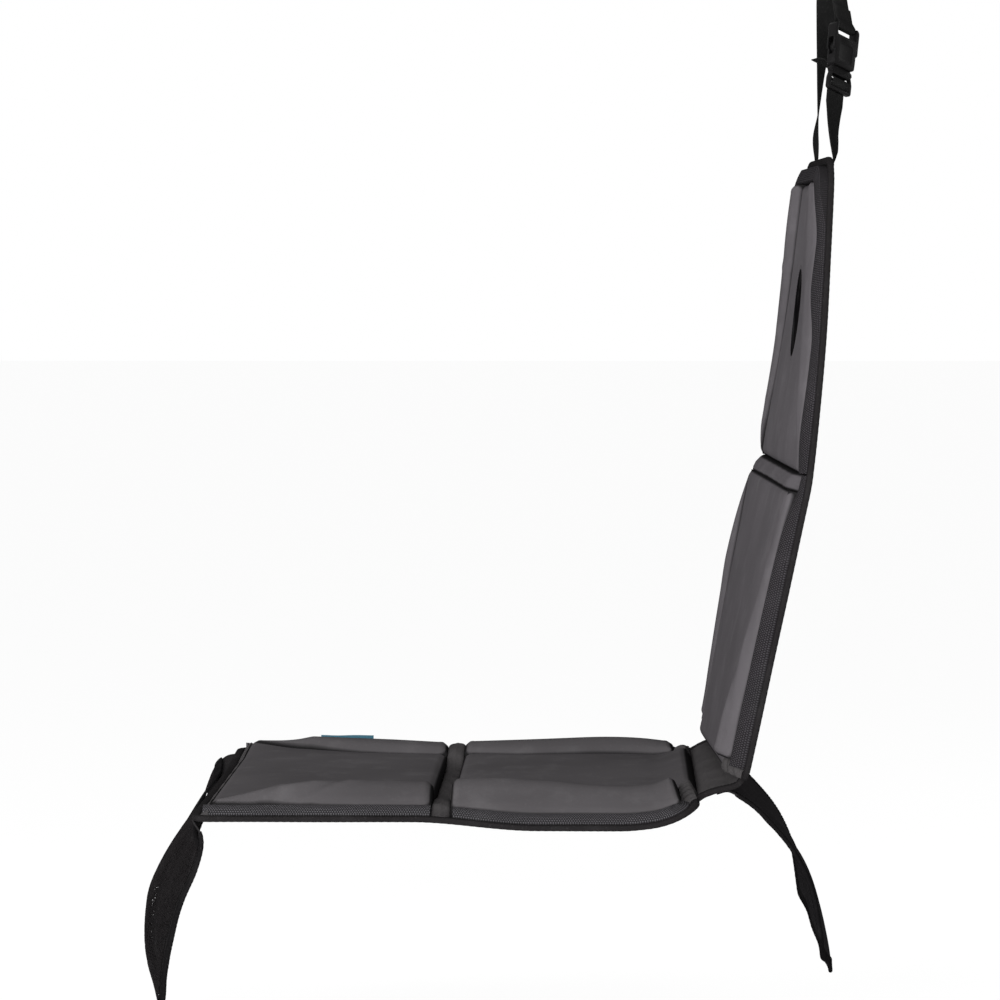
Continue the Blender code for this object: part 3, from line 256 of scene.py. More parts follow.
def weaveGroup():
    # plain weave from the piece's own pattern map, in metres: threads over and under
    group, given, made = newGroup(
        "weave",
        [("Vector", "NodeSocketVector", None), ("Pitch Along", "NodeSocketFloat", 0.001),
         ("Pitch Across", "NodeSocketFloat", 0.001), ("Skew", "NodeSocketFloat", 0.0)],
        [("Height", "NodeSocketFloat"), ("Thread", "NodeSocketFloat")],
    )
    x, y, _ = splitVector(group, given.outputs["Vector"])
    slant = mathNode(group, "MULTIPLY", y, given.outputs["Skew"])
    u = mathNode(group, "DIVIDE", mathNode(group, "ADD", x, slant), given.outputs["Pitch Along"])
    v = mathNode(group, "DIVIDE", y, given.outputs["Pitch Across"])
    warp = mathNode(group, "SINE", mathNode(group, "MULTIPLY", u, 2 * math.pi))
    weft = mathNode(group, "SINE", mathNode(group, "MULTIPLY", v, 2 * math.pi))
    over = mathNode(group, "MULTIPLY", warp, weft)
    height = mathNode(group, "MULTIPLY_ADD", over, 0.5, 0.5)
    group.links.new(height, made.inputs["Height"])
    group.links.new(mathNode(group, "ABSOLUTE", over), made.inputs["Thread"])
    return group


def dotMeshGroup():
    # honeycomb of raised dots on a darker ground, as a spacer cloth shows
    group, given, made = newGroup(
        "spacerDots",
        [("Vector", "NodeSocketVector", None), ("Pitch", "NodeSocketFloat", 0.0023)],
        [("Dot", "NodeSocketFloat")],
    )
    x, y, _ = splitVector(group, given.outputs["Vector"])
    u = mathNode(group, "DIVIDE", x, given.outputs["Pitch"])
    v = mathNode(group, "DIVIDE", y, mathNode(group, "MULTIPLY", given.outputs["Pitch"], 0.8660))

    def cell(shift):
        a = mathNode(group, "SUBTRACT", mathNode(group, "FRACT", mathNode(group, "ADD", u, shift)), 0.5)
        b = mathNode(group, "MULTIPLY_ADD", v, 0.5, shift)
        b = mathNode(group, "SUBTRACT", mathNode(group, "FRACT", b), 0.5)
        b = mathNode(group, "MULTIPLY", b, 1.732)
        squares = mathNode(group, "ADD", mathNode(group, "MULTIPLY", a, a), mathNode(group, "MULTIPLY", b, b))
        return mathNode(group, "SQRT", squares)

    near = mathNode(group, "MINIMUM", cell(0.0), cell(0.5))
    group.links.new(rangeNode(group, near, 0.44, 0.16), made.inputs["Dot"])
    return group


def grainGroup():
    # fine pebbled grain of a coated cloth
    group, given, made = newGroup(
        "coatedGrain",
        [("Vector", "NodeSocketVector", None), ("Size", "NodeSocketFloat", 1100.0)],
        [("Height", "NodeSocketFloat")],
    )
    cells = group.nodes.new("ShaderNodeTexVoronoi")
    cells.feature = "SMOOTH_F1"
    group.links.new(given.outputs["Size"], cells.inputs["Scale"])
    group.links.new(given.outputs["Vector"], cells.inputs["Vector"])
    fine = noiseNode(group, given.outputs["Vector"], given.outputs["Size"], 2.0)
    pebble = mathNode(group, "MULTIPLY_ADD", cells.outputs["Distance"], -0.8, 1.0)
    height = mathNode(group, "ADD", mathNode(group, "MULTIPLY", pebble, 0.75), mathNode(group, "MULTIPLY", fine, 0.25))
    group.links.new(height, made.inputs["Height"])
    return group


shared = {"tone": clothToneGroup(), "weave": weaveGroup(), "dots": dotMeshGroup(), "grain": grainGroup()}


def placeGroup(tree, name, **values):
    node = tree.nodes.new("ShaderNodeGroup")
    node.node_tree = shared[name]
    for key, value in values.items():
        socket = node.inputs[key.replace("_", " ")]
        if isinstance(value, (int, float, tuple)):
            socket.default_value = value
        else:
            tree.links.new(value, socket)
    return node.outputs


def startMaterial(name, roughness, sheen=0.0, specular=0.5):
    paint = bpy.data.materials.new(name)
    paint.use_nodes = True
    shader = paint.node_tree.nodes["Principled BSDF"]
    shader.inputs["Roughness"].default_value = roughness
    shader.inputs["Specular IOR Level"].default_value = specular
    shader.inputs["Sheen Weight"].default_value = sheen
    shader.inputs["Sheen Roughness"].default_value = 0.4
    where = paint.node_tree.nodes.new("ShaderNodeTexCoord")
    pattern = paint.node_tree.nodes.new("ShaderNodeUVMap")
    pattern.uv_map = "pattern"
    return paint, paint.node_tree, shader, where.outputs["Object"], pattern.outputs["UV"]


def addBump(tree, shader, layers):
    # layers of (height, distance in metres, strength), one bump on the next
    last = None
    for height, distance, strength in layers:
        bump = tree.nodes.new("ShaderNodeBump")
        bump.inputs["Distance"].default_value = distance
        bump.inputs["Strength"].default_value = strength
        tree.links.new(height, bump.inputs["Height"])
        if last is not None:
            tree.links.new(last, bump.inputs["Normal"])
        last = bump.outputs["Normal"]
    tree.links.new(last, shader.inputs["Normal"])


def laminateFinish(name, colour, roughness, paintSeamShade=True):
    paint, tree, shader, space, pattern = startMaterial(name, roughness, 0.0, 0.0)
    tone = placeGroup(tree, "tone", Colour=colour, Drift=0.10, Rub=0.05, Dust=0.03, Vector=space)
    shade = tone["Colour"]
    if paintSeamShade:
        # painted shade: within about 1 to 3 mm of a piece's rim (its seams and ends) the colour darkens to near black,
        # where a crease would lie in shadow
        rim = tree.nodes.new("ShaderNodeAttribute")
        rim.attribute_name = "rim"
        sunk = rangeNode(tree, rim.outputs["Fac"], 0.0010, 0.0028, 0.90, 0.0)
        shade = mixColour(tree, sunk, shade, (0.006, 0.006, 0.006, 1.0))
    tree.links.new(shade, shader.inputs["Base Color"])
    grain = placeGroup(tree, "grain", Vector=space, Size=900.0)
    slow = noiseNode(tree, space, 60.0, 3.0)
    tree.links.new(rangeNode(tree, slow, 0.3, 0.7, roughness - 0.05, roughness + 0.07), shader.inputs["Roughness"])
    addBump(tree, shader, [(slow, 0.0012, 0.15), (grain["Height"], 0.00012, 0.5)])
    return paint


def spacerFinish(name, ground, dots):
    paint, tree, shader, space, pattern = startMaterial(name, 0.62, 0.0, 0.0)
    tone = placeGroup(tree, "tone", Colour=ground, Drift=0.15, Rub=0.03, Dust=0.05, Vector=space)
    dot = placeGroup(tree, "dots", Vector=pattern, Pitch=0.0024)["Dot"]
    colour = mixColour(tree, dot, tone["Colour"], dots)
    tree.links.new(colour, shader.inputs["Base Color"])
    fine = placeGroup(tree, "weave", Vector=pattern, Pitch_Along=0.0006, Pitch_Across=0.0006)["Height"]
    addBump(tree, shader, [(dot, 0.0006, 0.9), (fine, 0.0001, 0.4)])
    return paint


def clothFinish(name, colour, roughness, pitch, depth, sheen=0.0, skew=0.0, thread=0.10):
    paint, tree, shader, space, pattern = startMaterial(name, roughness, sheen, 0.0)
    tone = placeGroup(tree, "tone", Colour=colour, Drift=0.14, Rub=0.02, Dust=0.03, Vector=space)
    weave = placeGroup(tree, "weave", Vector=pattern, Pitch_Along=pitch[0], Pitch_Across=pitch[1], Skew=skew)
    lifted = mathNode(tree, "MULTIPLY", weave["Thread"], thread)
    pale = tuple(min(1.0, c * 2.2) for c in colour[:3]) + (1.0,)
    tree.links.new(mixColour(tree, lifted, tone["Colour"], pale), shader.inputs["Base Color"])
    slow = noiseNode(tree, space, 45.0, 3.0)
    addBump(tree, shader, [(slow, 0.0015, 0.3), (weave["Height"], depth, 0.7)])
    return paint


def plasticFinish(name, colour, roughness):
    paint, tree, shader, space, pattern = startMaterial(name, roughness, 0.0, 0.06)
    tone = placeGroup(tree, "tone", Colour=colour, Drift=0.10, Rub=0.01, Dust=0.02, Vector=space)
    tree.links.new(tone["Colour"], shader.inputs["Base Color"])
    scuff = noiseNode(tree, space, 700.0, 3.0, 0.7)
    tree.links.new(rangeNode(tree, scuff, 0.3, 0.75, roughness - 0.08, roughness + 0.12), shader.inputs["Roughness"])
    addBump(tree, shader, [(scuff, 0.00006, 0.6)])
    return paint


finishes = {
    # one grey laminate in two copies: the back's copy is lighter than the seat's, painted sheen for the light the back
    # catches at a grazing view
    "seatLaminate": laminateFinish("seatLaminate", (0.068, 0.064, 0.067, 1.0), 0.46),
    "backLaminateLitCopy": laminateFinish("backLaminateLitCopy", (0.080, 0.0745, 0.080, 1.0), 0.44),
    # near-black panel: dark cloth made darker still, painted shade of a shallow recess
    "lens": laminateFinish("plainPanelPaintedShade", (0.004, 0.0037, 0.004, 1.0), 0.70, False),
    # one spacer cloth in two copies: the back's dots are dimmer, painted shade where less light picks them out than on
    # the seat
    "spacer": spacerFinish("seatSpacerCloth", (0.015, 0.0145, 0.015, 1.0), (0.100, 0.096, 0.104, 1.0)),
    "backSpacerDimmedCopy": spacerFinish("backSpacerCloth", (0.014, 0.013, 0.014, 1.0), (0.048, 0.045, 0.049, 1.0)),
    "binding": clothFinish("bindingTape", (0.014, 0.013, 0.0135, 1.0), 0.62, (0.0008, 0.0016), 0.0002),
    "flapTape": clothFinish("flapTape", (0.008, 0.0075, 0.008, 1.0), 0.62, (0.0008, 0.0016), 0.0002),
    "fold": clothFinish("foldCloth", (0.052, 0.049, 0.050, 1.0), 0.7, (0.0007, 0.0007), 0.0001),
    "rearCloth": clothFinish("rearFlapCloth", (0.018, 0.017, 0.018, 1.0), 0.7, (0.0008, 0.0008), 0.0001),
    "backing": clothFinish("backingCloth", (0.017, 0.016, 0.0165, 1.0), 0.72, (0.0009, 0.0009), 0.0001),
    "net": clothFinish("pocketNet", (0.013, 0.0118, 0.0124, 1.0), 0.7, (0.0005, 0.0005), 0.00005),
    "webbing": clothFinish("strapWebbing", (0.010, 0.010, 0.010, 1.0), 0.6, (0.0024, 0.0013), 0.00035, 0.0, 0.6, 0.3),
    "plastic": plasticFinish("bucklePlastic", (0.0035, 0.0033, 0.0035, 1.0), 0.42),
    "tag": clothFinish("tagCloth", (0.045, 0.118, 0.160, 1.0), 0.55, (0.0005, 0.0005), 0.0001),
    "thread": clothFinish("sewingThread", (0.016, 0.015, 0.016, 1.0), 0.55, (0.0004, 0.0004), 0.0001),
}
print("finishes ready:", len(finishes))

# ---- the mat's flat pattern: s up the mat, y across it, h above its underside

mat = {
    "seatLength": 0.495, "seatHalf": 0.235, "seatFrontCorner": 0.018, "seatRearCorner": 0.030,
    "seatFoldAt": 0.2405, "foldWidth": 0.018, "liftLength": 0.050, "liftTurn": 32.0,
    "neckHalf": 0.180, "riseLength": 0.026, "riseTurn": -20.0, "biteLength": 0.018, "notchCorner": 0.007,
    "lowerLength": 0.285, "upperLength": 0.312, "backLean": 78.4, "foldTurn": 4.6, "upperTurn": 2.5,
    "backBottomHalf": 0.212, "backFoldHalf": 0.2265, "shoulderHalf": 0.207, "shoulderAt": 0.115,
    "topHalf": 0.116, "bottomCorner": 0.018, "sideCorner": 0.30, "topCorner": 0.056,
    "seatSkew": 0.020, "backSkew": -0.026,
    "backing": 0.0020, "gap": 0.0003, "bindingWidth": 0.0090, "bindingTop": 0.0062,
    "borderWidth": 0.0150, "borderLow": 0.0065, "padSeating": 0.0023,
    "sagDepth": 0.0085, "cornerLift": 0.0070,
}
neckStart = mat["seatLength"]
neckEnd = neckStart + mat["riseLength"] + mat["biteLength"]
backFoldStart = neckEnd + mat["lowerLength"]
backFoldEnd = backFoldStart + mat["foldWidth"]
matEnd = backFoldEnd + mat["upperLength"]


def smoothStep(t):
    t = np.clip(t, 0.0, 1.0)
    return t * t * (3.0 - 2.0 * t)


def makeSpine():
    bite = mat["backLean"] - mat["liftTurn"] - mat["riseTurn"]
    stretches = (
        (mat["seatLength"] - mat["liftLength"], 0.0, 4), (mat["liftLength"], mat["liftTurn"], 20),
        (mat["riseLength"], mat["riseTurn"], 10), (mat["biteLength"], bite, 18), (mat["lowerLength"], 0.0, 4),
        (mat["foldWidth"], mat["foldTurn"], 6), (mat["upperLength"], mat["upperTurn"], 12),
    )
    s, angle, x, z = 0.0, 0.0, -mat["seatLength"] / 2, 0.0
    rows = [(s, angle, x, z)]
    for length, turn, count in stretches:
        for _ in range(count):
            middle = angle + math.radians(turn) / count / 2
            x += math.cos(middle) * length / count
            z += math.sin(middle) * length / count
            angle += math.radians(turn) / count
            s += length / count
            rows.append((s, angle, x, z))
    return np.array(rows).T


spineS, spineTurn, spineX, spineZ = makeSpine()


def lay(s, y, h):
    # a point of the flat pattern on the draped mat
    s, y, h = np.broadcast_arrays(np.asarray(s, float), np.asarray(y, float), np.asarray(h, float))
    turn = np.interp(s, spineS, spineTurn)
    over = s - np.clip(s, 0.0, matEnd)
    share = smoothStep((s - neckStart) / (neckEnd - neckStart))
    skew = mat["seatSkew"] + (mat["backSkew"] - mat["seatSkew"]) * share
    x = np.interp(s, spineS, spineX) + over * np.cos(turn) - np.sin(turn) * h + y * skew
    z = np.interp(s, spineS, spineZ) + over * np.sin(turn) + np.cos(turn) * h
    near = smoothStep((0.06 - y) / 0.26)
    sag = smoothStep((s - 0.215) / 0.12) * smoothStep((0.500 - s) / 0.085)
    far = smoothStep((y - 0.10) / 0.12) * smoothStep((0.075 - s) / 0.075)
    z = z - mat["sagDepth"] * near * sag + mat["cornerLift"] * far
    return np.stack([x, y + 0.0 * x, z], axis=-1)


def roundedLine(corners, step=0.12):
    points = []
    for i, (a, b, radius) in enumerate(corners):
        corner = Vector((a, b))
        if i in (0, len(corners) - 1) or radius == 0.0:
            points.append(corner)
            continue
        before = (Vector(corners[i - 1][:2]) - corner).normalized()
        after = (Vector(corners[i + 1][:2]) - corner).normalized()
        half = before.angle(after) / 2
        centre = corner + (before + after).normalized() * (radius / math.sin(half))
        first = corner + before * (radius / math.tan(half)) - centre
        last = corner + after * (radius / math.tan(half)) - centre
        sweep = math.atan2(first.cross(last), first.dot(last))
        steps = max(4, math.ceil(abs(sweep) / step))
        for k in range(steps + 1):
            points.append(centre + Matrix.Rotation(sweep * k / steps, 2) @ first)
    return np.array([tuple(p) for p in points])


def evenLine(points, step, closed=False):
    # the same line again with even steps
    points = np.asarray(points, float)
    if closed:
        points = np.vstack([points, points[:1]])
    runs = np.concatenate([[0.0], np.cumsum(np.linalg.norm(np.diff(points, axis=0), axis=1))])
    count = max(2, int(round(runs[-1] / step)))
    at = np.linspace(0.0, runs[-1], count + 1)
    line = np.stack([np.interp(at, runs, points[:, k]) for k in range(points.shape[1])], axis=1)
    return (line[:-1], at[:-1]) if closed else (line, at)


def insetLine(points, inset, closed=False):
    points = np.asarray(points, float)
    if closed:
        way = np.roll(points, -1, axis=0) - np.roll(points, 1, axis=0)
    else:
        way = np.gradient(points, axis=0)
    way /= np.linalg.norm(way, axis=1, keepdims=True)
    return points + np.stack([way[:, 1], -way[:, 0]], axis=1) * np.asarray(inset).reshape(-1, 1)


def halfOutline(front, rear, notch, bottom, top):
    return roundedLine((
        (0.0, 0.0, 0.0), (0.0, mat["seatHalf"], front), (mat["seatLength"], mat["seatHalf"], rear),
        (mat["seatLength"], mat["neckHalf"], notch), (neckEnd, mat["neckHalf"], notch),
        (neckEnd, mat["backBottomHalf"], bottom), (backFoldEnd, mat["backFoldHalf"], mat["sideCorner"]),
        (backFoldEnd + mat["shoulderAt"], mat["shoulderHalf"], mat["sideCorner"]),
        (matEnd, mat["topHalf"], top), (matEnd, 0.0, 0.0),
    ))


outline = halfOutline(mat["seatFrontCorner"], mat["seatRearCorner"], mat["notchCorner"], mat["bottomCorner"], mat["topCorner"])
squareOutline = halfOutline(0.0, 0.0, 0.0, 0.0, mat["topCorner"])


def widthAt(points, value):
    # the widest y of a half outline at s
    values = np.atleast_1d(np.asarray(value, float))
    a, b = points[:-1], points[1:]
    best = np.zeros(values.shape)
    for (s0, y0), (s1, y1) in zip(a, b):
        low, high = min(s0, s1), max(s0, s1)
        if high - low < 1e-9:
            continue
        inside = (values >= low - 1e-9) & (values <= high + 1e-9)
        found = y0 + (y1 - y0) * (values - s0) / (s1 - s0)
        best = np.where(inside, np.maximum(best, found), best)
    return best


def finishPiece(obj, slotName, *nodes):
    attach(obj, "root")
    if nodes:
        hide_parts(*nodes)
    return obj


def newPiece(name, points, faces, finish, pattern=None, smooth=True, angle=None):
    mesh = bpy.data.meshes.new(name)
    mesh.from_pydata(np.asarray(points).tolist(), [], [tuple(int(i) for i in f) for f in faces])
    mesh.validate()
    if pattern is not None:
        layer = mesh.uv_layers.new(name="pattern")
        index = np.empty(len(mesh.loops), np.int32)
        mesh.loops.foreach_get("vertex_index", index)
        layer.data.foreach_set("uv", np.asarray(pattern, np.float32)[index].ravel())
    bm = bmesh.new()
    bm.from_mesh(mesh)
    if bm.calc_volume(signed=True) < 0.0:
        bmesh.ops.reverse_faces(bm, faces=bm.faces)
    bm.to_mesh(mesh)
    bm.free()
    if smooth:
        mesh.shade_smooth()
        if angle:
            mesh.set_sharp_from_angle(angle=math.radians(angle))
    mesh.materials.append(finishes[finish])
    obj = bpy.data.objects.new(name, mesh)
    bpy.context.collection.objects.link(obj)
    return obj


def slabFaces(rows, columns):
    # faces of a closed slab: its top grid first, then its bottom grid
    def at(i, j, layer):
        return layer * rows * columns + i * columns + j

    faces = []
    for i in range(rows - 1):
        for j in range(columns - 1):
            faces.append((at(i, j, 0), at(i + 1, j, 0), at(i + 1, j + 1, 0), at(i, j + 1, 0)))
            faces.append((at(i, j, 1), at(i, j + 1, 1), at(i + 1, j + 1, 1), at(i + 1, j, 1)))
    for i in range(rows - 1):
        faces.append((at(i, 0, 0), at(i, 0, 1), at(i + 1, 0, 1), at(i + 1, 0, 0)))
        faces.append((at(i, columns - 1, 0), at(i + 1, columns - 1, 0), at(i + 1, columns - 1, 1), at(i, columns - 1, 1)))
    for j in range(columns - 1):
        faces.append((at(0, j, 0), at(0, j + 1, 0), at(0, j + 1, 1), at(0, j, 1)))
        faces.append((at(rows - 1, j, 0), at(rows - 1, j, 1), at(rows - 1, j + 1, 1), at(rows - 1, j + 1, 0)))
    return faces


def slab(name, s, y, top, bottom, finish, smooth=True, angle=50, place=lay):
    # a closed slab over a grid of the pattern, between two heights
    rows, columns = s.shape
    points = np.vstack([place(s, y, top).reshape(-1, 3), place(s, y, bottom).reshape(-1, 3)])
    pattern = np.stack([s.ravel(), y.ravel()], axis=1)
    return newPiece(name, points, slabFaces(rows, columns), finish, np.vstack([pattern, pattern]), smooth, angle)


def curveThrough(points, steps):
    points = np.asarray(points, float)
    padded = np.vstack([2 * points[0] - points[1], points, 2 * points[-1] - points[-2]])
    made = []
    for a, b, c, d in zip(padded, padded[1:], padded[2:], padded[3:]):
        for k in range(steps):
            t = k / steps
            made.append(0.5 * (2 * b + (c - a) * t + (2 * a - 5 * b + 4 * c - d) * t**2 + (3 * b - a - 3 * c + d) * t**3))
    made.append(points[-1])
    return np.array(made)


print("pattern drawn: mat", round(matEnd, 3), "m long")

# ---- padded sections: crowned tops over a pinned seam line, puffed by a short cloth run

padding = {
    "cell": 0.0050, "seamGap": 0.0008, "seamDrop": 0.0026, "seamRadius": 0.0045,
    "endRound": 0.0060, "bolsterLeast": 0.004,
    "pressure": 2.0, "slack": -0.005, "cap": 0.0026, "frames": 16, "easing": 70,
}
borderInner = mat["bindingWidth"] + 0.0006 + mat["borderWidth"]
bolsterLine = insetLine(outline, borderInner + 0.0006)
bindingLine = insetLine(outline, mat["bindingWidth"] + 0.0006)
frontPadStart = mat["bindingWidth"] + 0.0080
seatFoldStart = mat["seatFoldAt"] - mat["foldWidth"] / 2
seatFoldEnd = mat["seatFoldAt"] + mat["foldWidth"] / 2
upperTop = matEnd - borderInner - 0.0006
sections = {
    "seat_front": {
        "start": frontPadStart, "end": seatFoldStart - 0.0006, "bolster": (frontPadStart + 0.003, seatFoldStart - 0.0006),
        "seam": ((0.0, 0.205), (0.25, 0.186), (0.55, 0.155), (0.8, 0.143), (1.0, 0.141)),
        "crown": ((0.0, 0.0205), (0.5, 0.0210), (1.0, 0.0215)), "tilt": 0.0,
        "padEdge": (0.0165, 0.0165), "seamHeight": (0.0175, 0.0175),
        "nearCrown": ((0.0, 0.0270), (0.25, 0.0320), (0.7, 0.0325), (1.0, 0.0305)),
        "farCrown": ((0.0, 0.0275), (0.3, 0.0298), (0.55, 0.0298), (0.75, 0.0288), (1.0, 0.0262)),
        "edge": ((0.0, 0.0140), (1.0, 0.0140)), "finish": "seatLaminate",
        "ridges": {-1.0: ((0.043, 0.222, 0.130, 0.178, 0.0042, 0.0020), (0.101, 0.216, 0.164, 0.166, 0.0040, 0.0018))},
    },
    "seat_rear": {
        "start": seatFoldEnd + 0.0006, "end": neckStart - 0.0006, "bolster": (seatFoldEnd + 0.0006, neckStart - 0.0166),
        "seam": ((0.0, 0.146), (0.25, 0.136), (0.6, 0.145), (0.85, 0.138), (1.0, 0.132)),
        "crown": ((0.0, 0.0215), (0.5, 0.0215), (1.0, 0.0205)), "tilt": 0.0,
        "padEdge": (0.0165, 0.0165), "seamHeight": (0.0175, 0.0175),
        "nearCrown": ((0.0, 0.0350), (0.2, 0.0400), (0.4, 0.0398), (0.6, 0.0360), (0.75, 0.0345), (1.0, 0.0330)),
        "farCrown": ((0.0, 0.0270), (0.3, 0.0300), (0.65, 0.0320), (0.88, 0.0300), (1.0, 0.0240)),
        "edge": ((0.0, 0.0140), (1.0, 0.0140)), "finish": "seatLaminate",
        "ridges": {-1.0: ((0.270, 0.206, 0.350, 0.196, 0.0050, 0.0010),)},
    },
    "back_lower": {
        "start": neckEnd + 0.0006, "end": backFoldStart - 0.0006, "bolster": (neckEnd + 0.0166, backFoldStart - 0.0006),
        "seam": ((0.0, 0.148), (0.2, 0.152), (0.5, 0.160), (0.8, 0.172), (1.0, 0.192)),
        "crown": ((0.0, 0.0205), (0.5, 0.0245), (1.0, 0.0235)), "tilt": 0.0010,
        "padEdge": (0.0195, 0.0235), "seamHeight": (0.0205, 0.0240),
        "nearCrown": ((0.0, 0.0350), (0.15, 0.0340), (0.35, 0.0300), (0.55, 0.0265), (0.8, 0.0235), (1.0, 0.0220)),
        "farCrown": ((0.0, 0.0232), (0.11, 0.0242), (0.2, 0.0256), (0.37, 0.0278), (0.5, 0.0292), (0.65, 0.0310),
                     (0.9, 0.0300), (1.0, 0.0272)),
        "edge": ((0.0, 0.0195), (0.6, 0.0190), (0.85, 0.0170), (0.97, 0.0125), (1.0, 0.0105), (1.08, 0.0085)), "finish": "backLaminateLitCopy",
        "ridges": {-1.0: ((0.560, 0.190, 0.690, 0.172, 0.0045, 0.0013),)},
    },
    "back_upper": {
        "start": backFoldEnd + 0.0006, "end": upperTop, "bolster": (backFoldEnd + 0.0006, upperTop),
        "seam": ((0.0, 0.196), (0.2, 0.160), (0.5, 0.112), (0.8, 0.074), (1.0, 0.050)),
        "crown": ((0.0, 0.0185), (0.5, 0.0125), (1.0, 0.0150)), "tilt": 0.0,
        "padEdge": (0.0118, 0.0125), "seamHeight": (0.0120, 0.0130),
        "nearCrown": ((0.0, 0.0195), (0.5, 0.0190), (1.0, 0.0200)),
        "farCrown": ((0.0, 0.0240), (0.1, 0.0222), (0.2, 0.0190), (0.4, 0.0180), (0.55, 0.0195), (0.7, 0.0213),
                     (0.85, 0.0230), (1.0, 0.0230)),
        "edge": ((0.0, 0.0120), (0.13, 0.0150), (0.36, 0.0128), (0.47, 0.0122), (0.62, 0.0158), (0.80, 0.0128),
                 (0.93, 0.0165), (1.0, 0.0175)),
        "finish": "backLaminateLitCopy",
        "ridges": {1.0: ((0.886, 0.130, 0.908, 0.158, 0.0060, 0.0011), (0.960, 0.108, 0.980, 0.136, 0.0060, 0.0011),
                         (1.028, 0.084, 1.046, 0.110, 0.0060, 0.0011))},
    },
}


def tableAt(table, share):
    line = curveThrough([(a, b) for a, b in table], 8)
    return np.interp(share, line[:, 0], line[:, 1])


def seamWidth(section, s):
    info = sections[section]
    # the top section's seam shares its length with the solid below it, which ends at the binding
    length = (matEnd - 0.0098 if section == "back_upper" else info["end"]) - info["start"]
    return tableAt(info["seam"], (s - info["start"]) / length)


def outerWidth(section, s):
    if section in ("seat_front", "seat_rear"):
        return np.full(np.shape(s), mat["seatHalf"] - borderInner - 0.0006) - 0.0 * s
    if section == "back_lower":
        return widthAt(bolsterLine, np.maximum(s, neckEnd + borderInner + 0.012))
    return widthAt(bolsterLine, np.minimum(s, upperTop - 0.0008))


def endDistance(s, low, high):
    return np.minimum(s - low, high - s)


def edgeHeight(section, s):
    info = sections[section]
    return tableAt(info["edge"], (s - info["start"]) / (info["end"] - info["start"]))


def ridgeLift(section, s, y):
    # long soft folds: each from one place to another, with a width and a height
    lift = 0.0 * s
    for s0, y0, s1, y1, width, height in sections[section]["ridges"].get(float(np.sign(np.mean(y))), ()):
        run = math.hypot(s1 - s0, y1 - y0)
        t = ((s - s0) * (s1 - s0) + (np.abs(y) - y0) * (y1 - y0)) / run**2
        off = ((s - s0) * (y1 - y0) - (np.abs(y) - y0) * (s1 - s0)) / run
        fade = smoothStep((t + 0.15) / 0.35) * smoothStep((1.15 - t) / 0.35)
        lift = lift + height * fade * (np.exp(-((off / width) ** 2)) - 0.5 * np.exp(-(((off - 2 * width) / width) ** 2)))
    return lift


lens = {"at": 0.155, "halfLength": 0.047, "halfWidth": 0.027, "proud": 0.0009}


def lensMask(s, y):
    # 1 under the plain panel of the upper back, 0 away from it
    reach = np.hypot((s - backFoldEnd - lens["at"]) / lens["halfLength"], y / lens["halfWidth"])
    return smoothStep(4.0 * (1.15 - reach))


def padTop(section, s, y):
    info = sections[section]
    share = (s - info["start"]) / (info["end"] - info["start"])
    half = np.minimum(seamWidth(section, s), outerWidth(section, s) - padding["bolsterLeast"]) - padding["seamGap"] / 2
    u = np.clip(y / half, -1.0, 1.0)
    near, far = info["padEdge"]
    rim = near + (far - near) * smoothStep((u + 1.0) / 2)
    full = (1.0 - np.abs(u) ** 4) * (1.0 - np.abs(2 * np.clip(share, 0.0, 1.0) - 1) ** 10)
    return rim + (tableAt(info["crown"], share) + info["tilt"] * u - rim) * np.maximum(full, 0.0) ** 0.6


def easeOut(field, passes):
    # broad soft forms only: each point takes the mean of its neighbours, and the rim stays
    for _ in range(passes):
        middle = field[1:-1, 1:-1] * 0.4
        for a, b in ((field[:-2, 1:-1], field[2:, 1:-1]), (field[1:-1, :-2], field[1:-1, 2:])):
            middle = middle + (a + b) * 0.15
        field = field.copy()
        field[1:-1, 1:-1] = middle
    return field


def centreGrid(section):
    info = sections[section]
    rows = int(round((info["end"] - info["start"]) / padding["cell"])) + 1
    s = np.linspace(info["start"], info["end"], rows)
    half = np.minimum(seamWidth(section, s), outerWidth(section, s) - padding["bolsterLeast"]) - padding["seamGap"] / 2
    columns = int(round(2 * np.mean(half) / padding["cell"])) + 1
    u = np.linspace(-1.0, 1.0, columns)
    S = np.repeat(s[:, None], columns, axis=1)
    Y = half[:, None] * u[None, :]
    top = padTop(section, S, Y)
    edge = np.minimum((1.0 - np.abs(u))[None, :] * half[:, None], endDistance(S, info["start"], info["end"]))
    return S, Y, top, edge


